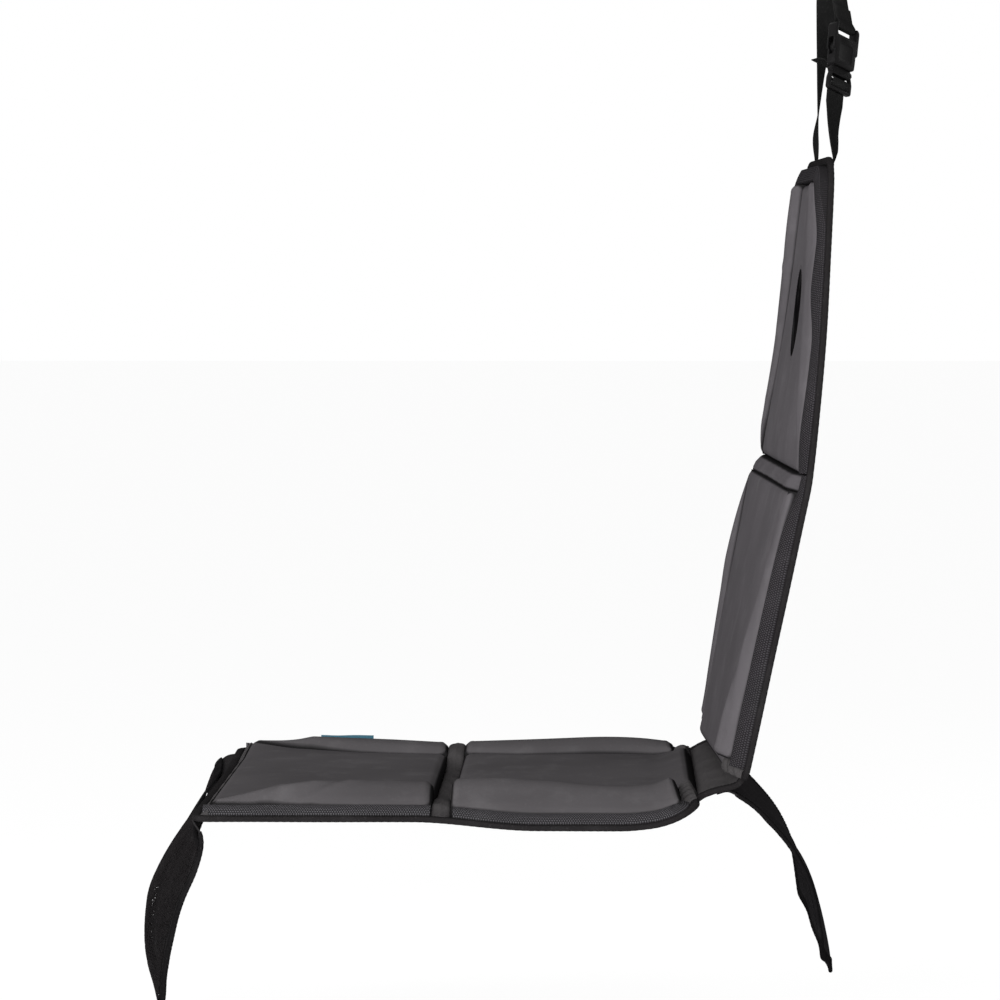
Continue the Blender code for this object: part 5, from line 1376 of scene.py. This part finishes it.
def flapSheet(name, node, surface, line, info, finish, slotName):
    inner = insetLine(line, 0.0010)
    end = float(inner[-1, 0])
    d = np.concatenate([np.linspace(0.0, 0.012, 7)[:-1], np.linspace(0.012, end, int((end - 0.012) / 0.0032))])
    half = widthAt(inner, np.minimum(d, end - 1e-5))
    u = np.linspace(-1.0, 1.0, 121)
    D = np.repeat(d[:, None], len(u), axis=1)
    Y = half[:, None] * u[None, :]
    thick = info["thickness"] / 2

    def place(s, y, h):
        return offsetFrom(surface, s, y, h)

    obj = slab(name, D, Y, np.full(D.shape, thick), np.full(D.shape, -thick), finish, angle=50, place=place)
    finishPiece(obj, slotName, node)
    return obj


def flapTape(name, node, surface, line, info, first):
    side = evenLine(line[:-1], 0.003)[0]
    side = side[side[:, 0] > first]
    bottom = np.stack([np.full(60, side[-1, 0]), np.linspace(side[-1, 1], -side[-1, 1], 62)[1:-1]], axis=1)
    path = np.vstack([side, bottom, np.stack([side[::-1, 0], -side[::-1, 1]], axis=1)])
    path, at = evenLine(path, 0.0028)
    high = info["thickness"] / 2 + 0.0013
    insets, heights = bandRing(0.0, info["tapeWidth"], -high, high, 14, 3.0)
    rings, patterns = [], []
    for inset, height in zip(insets, heights):
        flat = insetLine(path, np.full(len(path), inset))
        ripple = 0.00015 * np.sin(at * 2 * math.pi / 0.0068) * np.sign(height)
        rings.append(offsetFrom(surface, flat[:, 0], flat[:, 1], height + ripple))
        patterns.append(np.stack([at, np.full(len(at), inset + height)], axis=1))
    points = np.stack(rings, axis=1).reshape(-1, 3)
    obj = newPiece(name, points, tubeFaces(len(path), len(insets), False), "flapTape",
                   np.stack(patterns, axis=1).reshape(-1, 2))
    finishPiece(obj, "black_binding", node)
    seam = insetLine(path, np.full(len(path), info["tapeWidth"] - 0.0022))[2:-2]
    rows = [offsetFrom(surface, seam[:, 0], seam[:, 1], np.full(len(seam), sign * (high + 0.00005))) for sign in (-1, 1)]
    sewLines(name + "_stitches", "black_binding", rows, thickness=0.00022)


flapSheet("front_flap_cloth", "front_flap", frontSurface, frontLine, frontFlap, "backing", "non_slip_backing")
flapTape("front_flap_tape", "front_flap_binding", frontSurface, frontLine, frontFlap, 0.020)
flapSheet("rear_flap_cloth", "rear_flap", rearSurface, rearLine, rearFlap, "rearCloth", "fold_cloth")
flapTape("rear_flap_tape", "rear_flap_binding", rearSurface, rearLine, rearFlap, 0.020)
print("flaps made")

pocketLine = insetLine(frontLine, frontFlap["tapeWidth"] + 0.0006)
pocketBottom = float(pocketLine[-1, 0])


def pocketPlace(d, y, h):
    # a point of the pocket's front, at d down the flap and y across, h out from the netting's middle
    half = np.maximum(widthAt(pocketLine, np.minimum(np.ravel(d), pocketBottom - 1e-5)).reshape(np.shape(d)), 1e-4)
    u = np.clip(y / half, -1.0, 1.0)
    mouth = mouthAt(u)
    share = np.clip((d - mouth) / (pocketBottom - mouth), 0.0, 1.0)
    swell = pocket["mouthDepth"] * (1.0 - share) + 4.0 * pocket["swell"] * share * (1.0 - share)
    sag = 0.0012 * np.sin(y * 71.0 + d * 33.0) * (1 - u * u) * share
    out = frontFlap["thickness"] / 2 + pocket["clearance"] + (1.0 - u * u) * (swell + sag) + h
    return offsetFrom(frontSurface, d, y, -out)


def mouthAt(u):
    return pocket["mouthAt"] + np.where(u < 0, pocket["nearDip"], pocket["farDip"]) * u * u


def pocketHem():
    u = np.linspace(-1.0, 1.0, 161)
    w = np.linspace(0.0, 1.0, 6)
    D = mouthAt(u)[None, :] + pocket["hemWidth"] * w[:, None]
    half = widthAt(pocketLine, D.ravel()).reshape(D.shape)
    Y = half * u[None, :]
    rounding = 0.0005 * (1 - np.abs(2 * w - 1) ** 3)[:, None] + 0.0 * D
    obj = slab("pocket_hem", D, Y, pocket["hemThickness"] * 0.75 + rounding, np.full(D.shape, 0.0), "flapTape", angle=50,
               place=lambda s, y, h: pocketPlace(s, y, h))
    finishPiece(obj, "black_binding", "mesh_pocket_hem")
    line = np.stack([D[4], Y[4]], axis=1)[3:-3]
    rows = [pocketPlace(line[:, 0], line[:, 1], pocket["hemThickness"] * 0.75 + 0.0003)]
    sewLines("pocket_hem_stitches", "black_binding", rows, thickness=0.00022)


def nettingTree():
    # every edge of a flat lattice becomes a thin closed thread
    tree = bpy.data.node_groups.new("nettingThreads", "GeometryNodeTree")
    tree.interface.new_socket("Lattice", in_out="INPUT", socket_type="NodeSocketGeometry")
    radius = tree.interface.new_socket("Thread", in_out="INPUT", socket_type="NodeSocketFloat")
    radius.default_value = 0.0005
    tree.interface.new_socket("Finish", in_out="INPUT", socket_type="NodeSocketMaterial")
    tree.interface.new_socket("Netting", in_out="OUTPUT", socket_type="NodeSocketGeometry")
    given, made = tree.nodes.new("NodeGroupInput"), tree.nodes.new("NodeGroupOutput")
    link = tree.links.new
    split = tree.nodes.new("GeometryNodeSplitEdges")
    link(given.outputs["Lattice"], split.inputs["Mesh"])
    toCurve = tree.nodes.new("GeometryNodeMeshToCurve")
    link(split.outputs["Mesh"], toCurve.inputs["Mesh"])
    ring = tree.nodes.new("GeometryNodeCurvePrimitiveCircle")
    ring.inputs["Resolution"].default_value = 3
    link(given.outputs["Thread"], ring.inputs["Radius"])
    thread = tree.nodes.new("GeometryNodeCurveToMesh")
    thread.inputs["Fill Caps"].default_value = True
    link(toCurve.outputs["Curve"], thread.inputs["Curve"])
    link(ring.outputs["Curve"], thread.inputs["Profile Curve"])
    real = tree.nodes.new("GeometryNodeRealizeInstances")
    link(thread.outputs["Mesh"], real.inputs["Geometry"])
    paint = tree.nodes.new("GeometryNodeSetMaterial")
    link(real.outputs["Geometry"], paint.inputs["Geometry"])
    link(given.outputs["Finish"], paint.inputs["Material"])
    link(paint.outputs["Geometry"], made.inputs["Netting"])
    return tree


def pocketNet():
    pitch = pocket["pitch"]
    edge = pitch / math.sqrt(3.0)
    rows = int(0.27 / (1.5 * edge)) + 2
    columns = int(0.42 / pitch) + 2
    keys, points, edges = {}, [], set()

    def corner(x, y):
        key = (round(x / edge * 2), round(y / pitch * 2))
        if key not in keys:
            keys[key] = len(points)
            points.append((x, y))
        return keys[key]

    for i in range(rows):
        for j in range(columns):
            cx = i * 1.5 * edge
            cy = (j - columns / 2 + (0.5 if i % 2 else 0.0)) * pitch
            ring = [corner(cx + edge * math.cos(a), cy + edge * math.sin(a))
                    for a in (math.radians(60 * k) for k in range(6))]
            for a, b in zip(ring, ring[1:] + ring[:1]):
                edges.add((min(a, b), max(a, b)))
    flat = np.array(points)
    half = widthAt(pocketLine, np.clip(flat[:, 0], 0.0, pocketBottom - 1e-5))
    u = flat[:, 1] / np.maximum(half, 1e-4)
    start = mouthAt(np.clip(u, -1, 1)) + pocket["hemWidth"] - 0.002
    inside = (np.abs(u) < 1.0) & (flat[:, 0] > start) & (flat[:, 0] < pocketBottom)
    kept = np.array([e for e in edges if inside[e[0]] and inside[e[1]]])
    used = np.unique(kept)
    renumber = np.full(len(flat), -1)
    renumber[used] = np.arange(len(used))
    uneven = np.random.default_rng(4).normal(0.0, 0.00032, (len(used), 2))
    place = pocketPlace(flat[used, 0] + uneven[:, 0], flat[used, 1] + uneven[:, 1], 0.0004)
    mesh = bpy.data.meshes.new("lattice")
    mesh.from_pydata(place.tolist(), renumber[kept].tolist(), [])
    source = bpy.data.objects.new("lattice", mesh)
    bpy.context.collection.objects.link(source)
    obj = runTree("pocket_net", source, nettingTree(), {"Thread": pocket["thread"], "Finish": finishes["net"]})
    finishPiece(obj, "pocket_mesh", "mesh_pocket")


pocketHem()
pocketNet()
print("pocket made")

# ---- webbing: the headrest strap and the adjusting strap with its tail

web = {"width": 0.025, "thickness": 0.0012, "sewn": 0.034, "spread": 0.080, "tilt": -0.42, "gap": 0.0003}
buckle = {
    "socketLength": 0.045, "socketWidth": 0.036, "socketNeck": 0.031, "socketThick": 0.0110, "wall": 0.0022,
    "frameLength": 0.025, "plugWidth": 0.034, "plugThick": 0.0050, "bar": 0.0032, "slot": 0.0050, "openSlot": 0.0085,
    "armLength": 0.026, "armWidth": 0.0042, "prongLength": 0.022, "prongWidth": 0.0050,
    "centre": (0.0155, -0.035, 0.1105), "across": (0.70, 0.655, -0.28), "down": (-0.12, -0.288, -0.95),
}
matTop = Vector(lay(matEnd, 0.0, 0.0))


def buckleFrame():
    across = Vector(buckle["across"]).normalized()
    down = Vector(buckle["down"])
    up = -(down - across * down.dot(across)).normalized()
    turn = Matrix((across, up, across.cross(up))).transposed().to_4x4()
    return Matrix.Translation(matTop + Vector(buckle["centre"])) @ turn


atBuckle = buckleFrame()
acrossBuckle = np.array(atBuckle.to_3x3() @ Vector((1.0, 0.0, 0.0)))
acrossMat = np.array(Vector((mat["backSkew"], 1.0, 0.0)).normalized())
socketTop, socketBottom = buckle["socketLength"] / 2, -buckle["socketLength"] / 2
barHalf = buckle["plugThick"] / 2 + 0.0002
plugBottom = socketBottom - buckle["frameLength"]
lowerSlot = plugBottom + buckle["bar"]
middleBar = lowerSlot + buckle["slot"]
upperSlot = middleBar + buckle["bar"]
plugBody = upperSlot + buckle["slot"]
plugShoulder = socketBottom - 0.0004
webClear = web["gap"] + web["thickness"] / 2 + 0.0001
webPair = web["thickness"] / 2 + web["gap"]


def inBuckle(up, out, tilt=0.0):
    return np.array(atBuckle @ Vector((tilt * max(0.0, up - socketTop), up, out)))


def sewnEnd(side):
    tip = matEnd - web["sewn"]
    return [(lay(tip + web["sewn"] * i / 3, side * web["spread"], -(web["gap"] + web["thickness"] / 2)), acrossMat)
            for i in range(4)]


def smoothStations(stations, steps):
    points = curveThrough([p for p, _ in stations], steps)
    across = curveThrough([w for _, w in stations], steps)
    made = [across[0]]
    for i in range(1, len(points) - 1):
        way = points[i + 1] - points[i - 1]
        way /= np.linalg.norm(way)
        square = across[i] - way * across[i].dot(way)
        square /= np.linalg.norm(square)
        share = float(smoothStep(1.0 - (len(points) - 1 - i) / (2 * steps)))
        made.append(square * (1 - share) + across[i] * share)
    made.append(across[-1])
    return list(zip(points, made))


def beltPath(pins, radius):
    places = [Vector(pin[:2]) for pin in pins]
    reach = [pin[2] * radius for pin in pins]
    angles = []
    for c0, c1, r0, r1 in zip(places, places[1:], reach, reach[1:]):
        way = c1 - c0
        angles.append(math.atan2(way.y, way.x) + math.acos((r1 - r0) / way.length))
    path = [places[0]]
    for centre, r, first, last in zip(places[1:-1], reach[1:-1], angles, angles[1:]):
        if r == 0.0:
            path.append(centre)
            continue
        sweep = (last - first + math.pi) % (2 * math.pi) - math.pi
        if abs(sweep) < 0.05:
            continue
        steps = max(2, math.ceil(abs(sweep) / 0.25))
        for i in range(steps + 1):
            angle = first + sweep * i / steps
            path.append(centre - Vector((math.cos(angle), math.sin(angle))) * r)
    path.append(places[-1])
    return path


def buckleStations(path, tilt=0.0):
    return [(inBuckle(up, out, tilt), acrossBuckle) for up, out in path]


def webbing(name, node, stations):
    points = np.array([p for p, _ in stations])
    across = np.array([w for _, w in stations])
    runs = np.concatenate([[0.0], np.cumsum(np.linalg.norm(np.diff(points, axis=0), axis=1))])
    way = np.empty_like(points)
    way[1:-1] = points[2:] - points[:-2]
    way[0], way[-1] = points[1] - points[0], points[-1] - points[-2]
    out = np.cross(way, across)
    out /= np.linalg.norm(out, axis=1, keepdims=True)
    half = web["thickness"] / 2
    profile = [(-1.0, -0.5), (-0.96, -1.0), (-0.6, -1.0), (-0.2, -1.0), (0.2, -1.0), (0.6, -1.0), (0.96, -1.0), (1.0, -0.5),
               (1.0, 0.5), (0.96, 1.0), (0.6, 1.0), (0.2, 1.0), (-0.2, 1.0), (-0.6, 1.0), (-0.96, 1.0), (-1.0, 0.5)]
    rings = np.stack([points + across * (a * web["width"] / 2) + out * (b * half) for a, b in profile], axis=1)
    pattern = np.stack([np.stack([runs, np.full(len(runs), a * web["width"] / 2)], axis=1) for a, b in profile], axis=1)
    obj = newPiece(name, rings.reshape(-1, 3), tubeFaces(len(points), len(profile), False), "webbing",
                   pattern.reshape(-1, 2), angle=60)
    finishPiece(obj, "webbing", node)
    print("  webbing", name, round(float(runs[-1]), 3), "m")
    return obj


def offTop(x, y, z):
    return np.array(matTop) + np.array((x, y, z))


def bothStraps():
    barBottom = socketTop - buckle["bar"]
    wrap = beltPath((
        (socketTop + 0.018, -webPair, 0), (socketTop + 0.006, -webPair - webClear, 1), (socketTop, -barHalf, -1),
        (barBottom, -barHalf, -1), (barBottom, barHalf, -1), (socketTop, barHalf, -1),
        (socketTop + 0.006, webPair + webClear, 1), (socketTop + 0.018, webPair, 0)), webClear)
    loop = [
        *sewnEnd(1.0),
        (offTop(-0.0022, 0.076, 0.022), (-0.14, 1.0, 0.0)), (offTop(-0.0005, 0.066, 0.048), (0.08, 1.0, 0.0)),
        (offTop(0.0010, 0.050, 0.090), (0.35, 0.9, 0.0)), (offTop(0.0040, 0.036, 0.140), (0.70, 0.6, 0.0)),
        (offTop(0.0070, 0.027, 0.180), (1.0, 0.15, 0.0)), (offTop(0.0090, 0.017, 0.205), (1.0, 0.0, 0.0)),
        (offTop(0.0100, 0.003, 0.2155), (1.0, 0.0, 0.0)), (offTop(0.0090, -0.013, 0.206), (1.0, 0.10, 0.0)),
        (offTop(0.0090, -0.023, 0.184), (0.88, 0.45, 0.0)),
        (inBuckle(socketTop + 0.030, -webPair, web["tilt"]), acrossBuckle),
        (inBuckle(socketTop + 0.018, -webPair, web["tilt"]), acrossBuckle),
    ]
    webbing("headrest_webbing", "headrest_strap", [*smoothStations(loop, 10)[:-1], *buckleStations(wrap, web["tilt"])])
    half = buckle["plugThick"] / 2
    back = -buckle["socketThick"] / 2
    weave = beltPath((
        (plugBottom - 0.012, -half - 0.0006, 0), (plugBottom, -half, 1), (lowerSlot, -half, 1), (middleBar, half, -1),
        (upperSlot, half, -1), (plugBody, -half, 1), (socketBottom, back, 1),
        (socketBottom + 0.0045, back - webClear - 0.0006, 0), (socketBottom + 0.0090, back - 0.0070, 0),
        (socketBottom + 0.0110, back - 0.0150, 0), (socketBottom + 0.0105, back - 0.0235, 0)), webClear)
    lead = [
        *sewnEnd(-1.0)[:3], (offTop(0.0042, -0.0790, 0.000), (0.20, 1.0, 0.0)),
        (offTop(0.0046, -0.0785, 0.007), (0.32, 0.95, 0.0)), (offTop(0.0040, -0.0762, 0.018), (0.40, 0.92, 0.0)),
        (offTop(0.0038, -0.0705, 0.031), (0.48, 0.88, -0.1)), *buckleStations(weave[:1]),
    ]
    webbing("adjusting_webbing", "adjusting_strap", [*smoothStations(lead, 10)[:-1], *buckleStations(weave)])
    for side, label in ((1.0, "headrest"), (-1.0, "adjusting")):
        y0 = side * web["spread"]
        low, high = matEnd - web["sewn"] + 0.003, matEnd - 0.004
        h = -(web["gap"] + web["thickness"] + 0.00005)
        w = web["width"] / 2 - 0.0025
        box = [(low, y0 - w), (high, y0 - w), (high, y0 + w), (low, y0 + w), (low, y0 - w)]
        lines = [np.array(box), np.array([(low, y0 - w), (high, y0 + w)]), np.array([(high, y0 - w), (low, y0 + w)])]
        rows = []
        for line in lines:
            flat, _ = evenLine(line, 0.003)
            rows.append(lay(flat[:, 0], flat[:, 1], h))
        sewLines(label + "_strap_stitches", "webbing", rows, pitch=0.0028, length=0.0021, thickness=0.00025)


bothStraps()
print("straps made")

# ---- side-release buckle

moulding = {"edge": 0.0006, "segments": 2}


def arcPoints(centre, radius, start, end, steps=8):
    angles = np.radians(np.linspace(start, end, steps + 1))
    return [(centre[0] + radius * math.cos(a), centre[1] + radius * math.sin(a)) for a in angles]


def mirrored(points):
    return [*points, *((-x, y) for x, y in reversed(points))]


def rectangle(half, low, high, corner=0.0008):
    made = []
    for cx, cy, start in ((half - corner, low + corner, -90.0), (half - corner, high - corner, 0.0),
                          (-half + corner, high - corner, 90.0), (-half + corner, low + corner, 180.0)):
        made += arcPoints((cx, cy), corner, start, start + 90.0, 3)
    return made


def roundedPlate(name, outlines, thickness, edge=None, level=0.0):
    # a moulded plate: the first outline round it, the others round its openings, its edges eased
    edge = moulding["edge"] if edge is None else edge
    shape = bpy.data.curves.new(name, "CURVE")
    shape.dimensions = "2D"
    shape.fill_mode = "BOTH"
    shape.extrude = thickness / 2 - edge
    shape.bevel_depth = edge
    shape.bevel_resolution = moulding["segments"]
    shape.offset = -edge
    for line in outlines:
        run = shape.splines.new("POLY")
        run.points.add(len(line) - 1)
        for point, (x, y) in zip(run.points, line):
            point.co = (x, y, 0.0, 1.0)
        run.use_cyclic_u = True
    drawn = bpy.data.objects.new(name, shape)
    bpy.context.collection.objects.link(drawn)
    bpy.context.view_layer.update()
    graph = bpy.context.evaluated_depsgraph_get()
    mesh = bpy.data.meshes.new_from_object(drawn.evaluated_get(graph))
    bpy.data.objects.remove(drawn)
    bm = bmesh.new()
    bm.from_mesh(mesh)
    bmesh.ops.remove_doubles(bm, verts=bm.verts, dist=2e-6)
    bmesh.ops.dissolve_degenerate(bm, edges=bm.edges, dist=1e-6)
    bmesh.ops.recalc_face_normals(bm, faces=bm.faces)
    if bm.calc_volume(signed=True) < 0.0:
        bmesh.ops.reverse_faces(bm, faces=bm.faces)
    for vert in bm.verts:
        vert.co.z += level
    bm.to_mesh(mesh)
    bm.free()
    obj = bpy.data.objects.new(name, mesh)
    bpy.context.collection.objects.link(obj)
    return obj


def roundedBlock(name, size, centre, edge=0.0006):
    bm = bmesh.new()
    bmesh.ops.create_cube(bm, size=1.0)
    for vert in bm.verts:
        vert.co = Vector(centre) + Vector(a * b for a, b in zip(vert.co, size))
    if edge:
        bmesh.ops.bevel(bm, geom=list(bm.edges), offset=edge, segments=2, profile=0.5, affect="EDGES")
    mesh = bpy.data.meshes.new(name)
    bm.to_mesh(mesh)
    bm.free()
    obj = bpy.data.objects.new(name, mesh)
    bpy.context.collection.objects.link(obj)
    return obj


def joinShapes(name, base, added, removed, node):
    for tools, operation in ((added, "UNION"), (removed, "DIFFERENCE")):
        for tool in tools:
            step = base.modifiers.new("shape", "BOOLEAN")
            step.operation = operation
            step.solver = "EXACT"
            step.object = tool
    bpy.context.view_layer.update()
    graph = bpy.context.evaluated_depsgraph_get()
    mesh = bpy.data.meshes.new_from_object(base.evaluated_get(graph))
    for part in (base, *added, *removed):
        bpy.data.objects.remove(part)
    mesh.name = name
    mesh.transform(atBuckle)
    mesh.materials.clear()
    mesh.materials.append(finishes["plastic"])
    mesh.shade_smooth()
    mesh.set_sharp_from_angle(angle=math.radians(32))
    obj = bpy.data.objects.new(name, mesh)
    bpy.context.collection.objects.link(obj)
    return finishPiece(obj, "buckle_plastic", node)


cavityHalf = buckle["socketNeck"] / 2 - buckle["wall"]
cavityThick = buckle["plugThick"] + 0.0012
slotHalf = web["width"] / 2 + 0.0012
shoulderReach = buckle["socketNeck"] / 2 + 0.0006


def buckleSocket():
    top, bottom = socketTop, socketBottom
    step = bottom + buckle["socketLength"] * 0.36
    wide, narrow, corner = buckle["socketWidth"] / 2, buckle["socketNeck"] / 2, 0.0045
    right = [
        *arcPoints((narrow - 0.0045, bottom + 0.0045), 0.0045, -90.0, -20.0, 5), (narrow, bottom + 0.009),
        (narrow, step - 0.0024), *arcPoints((narrow + 0.0012, step - 0.0010), 0.0012, 180.0, 110.0, 3),
        (wide - 0.0006, step + 0.0012), (wide, step + 0.0022),
        *arcPoints((wide - corner, top - corner), corner, 0.0, 90.0),
    ]
    slotTop = top - buckle["bar"]
    hole = rectangle(slotHalf, slotTop - buckle["openSlot"], slotTop)
    base = roundedPlate("buckle_housing", [mirrored(right), hole[::-1]], buckle["socketThick"], 0.0011)
    roof = slotTop - buckle["openSlot"] - buckle["wall"]
    depth, mouth = roof - bottom, 0.004
    removed = [roundedBlock("cavity", (2 * cavityHalf, depth + mouth, cavityThick), (0.0, bottom + (depth - mouth) / 2, 0.0))]
    low, high = bottom + 0.011, bottom + 0.0285
    removed.append(roundedBlock("windows", (2 * buckle["socketWidth"], high - low, cavityThick), (0.0, (low + high) / 2, 0.0), 0.0011))
    lowered = (buckle["socketThick"] - buckle["plugThick"]) / 2 - 0.0002
    for face in (-1.0, 1.0):
        reach = 2 * (buckle["bar"] + buckle["openSlot"] + 0.0014)
        removed.append(roundedBlock("relief", (2 * slotHalf, reach, lowered * 2), (0.0, top, face * buckle["socketThick"] / 2)))
        panel = rectangle(0.0098, bottom + 0.006, bottom + 0.0245, 0.003)
        removed.append(roundedPlate("panel", [panel], 0.0010, 0.0003, face * buckle["socketThick"] / 2))
    added = []
    for face in (-1.0, 1.0):
        for k in range(3):
            y = bottom + 0.0262 + 0.0016 * k
            added.append(roundedBlock("rib", (0.015, 0.0007, 0.0008), (0.0, y, face * buckle["socketThick"] / 2), 0.0002))
    joinShapes("buckle_housing", base, added, removed, "buckle_socket")


def bucklePlug():
    half = buckle["plugWidth"] / 2
    outer = cavityHalf - web["gap"]
    armTop = plugShoulder + buckle["armLength"]
    low, high = socketBottom + 0.0118, socketBottom + 0.0270
    inner = outer - buckle["armWidth"]
    prong = buckle["prongWidth"] / 2
    right = [
        *arcPoints((half - 0.003, plugBottom + 0.003), 0.003, -90.0, 0.0), (half, upperSlot),
        (half - 0.0012, plugBody - 0.001), (half - 0.0025, plugBody + 0.002), (half - 0.0010, plugShoulder - 0.004),
        (half - 0.0018, plugShoulder - 0.0012), (half - 0.0040, plugShoulder), (outer, plugShoulder), (outer, low),
        *arcPoints((shoulderReach - 0.006, (low + high) / 2), 0.0060, -60.0, 60.0, 10), (outer, high),
        (outer - 0.0012, armTop), (inner + 0.0006, armTop + 0.0004), (inner, armTop - 0.0008),
        (inner - 0.0012, plugShoulder + 0.004), (prong + 0.0015, plugShoulder + 0.002), (prong, plugShoulder + 0.006),
        (prong - 0.0006, plugShoulder + buckle["prongLength"]),
    ]
    slots = [rectangle(slotHalf, lowerSlot, lowerSlot + buckle["slot"])[::-1],
             rectangle(slotHalf, upperSlot, upperSlot + buckle["slot"])[::-1]]
    base = roundedPlate("buckle_tongue", [mirrored(right), *slots], buckle["plugThick"], 0.0007)
    added = []
    for face in (-1.0, 1.0):
        for k in range(4):
            y = plugBody + 0.0020 + 0.0013 * k
            added.append(roundedBlock("rib", (0.026, 0.0006, 0.0006), (0.0, y, face * buckle["plugThick"] / 2), 0.0002))
    joinShapes("buckle_tongue", base, added, [], "buckle_plug")


buckleSocket()
bucklePlug()
print("buckle made")

# ---- blank side tag, folded at its top

tag = {"at": 0.119, "length": 0.057, "height": 0.0195, "thickness": 0.0013}


def sideTag():
    s = np.linspace(tag["at"] - tag["length"] / 2, tag["at"] + tag["length"] / 2, 39)
    v = np.linspace(0.0, 1.0, 13)
    S = np.repeat(s[:, None], len(v), axis=1)
    low = mat["bindingTop"] + 0.0003
    H = low + tag["height"] * v[None, :] + 0.0002 * np.sin(S * 160.0) * v[None, :]
    edge = mat["seatHalf"] - mat["bindingWidth"] / 2 + 0.0001
    lean = 0.10 * (v[None, :] - 0.5) * tag["height"] + 0.0006 * np.sin(S * 95.0) * v[None, :] ** 2
    thick = tag["thickness"] / 2 * np.sqrt(np.clip(1.0 - np.maximum(0.0, (v - 0.93) / 0.08) ** 2, 0.05, 1.0))[None, :]

    def place(a, b, side):
        return lay(a, edge + lean + side * thick, b)

    obj = slab("blank_tag", S, H, np.full(S.shape, 1.0), np.full(S.shape, -1.0), "tag", angle=60, place=place)
    finishPiece(obj, "tag_cloth", "side_tag")


sideTag()
print("tag made")
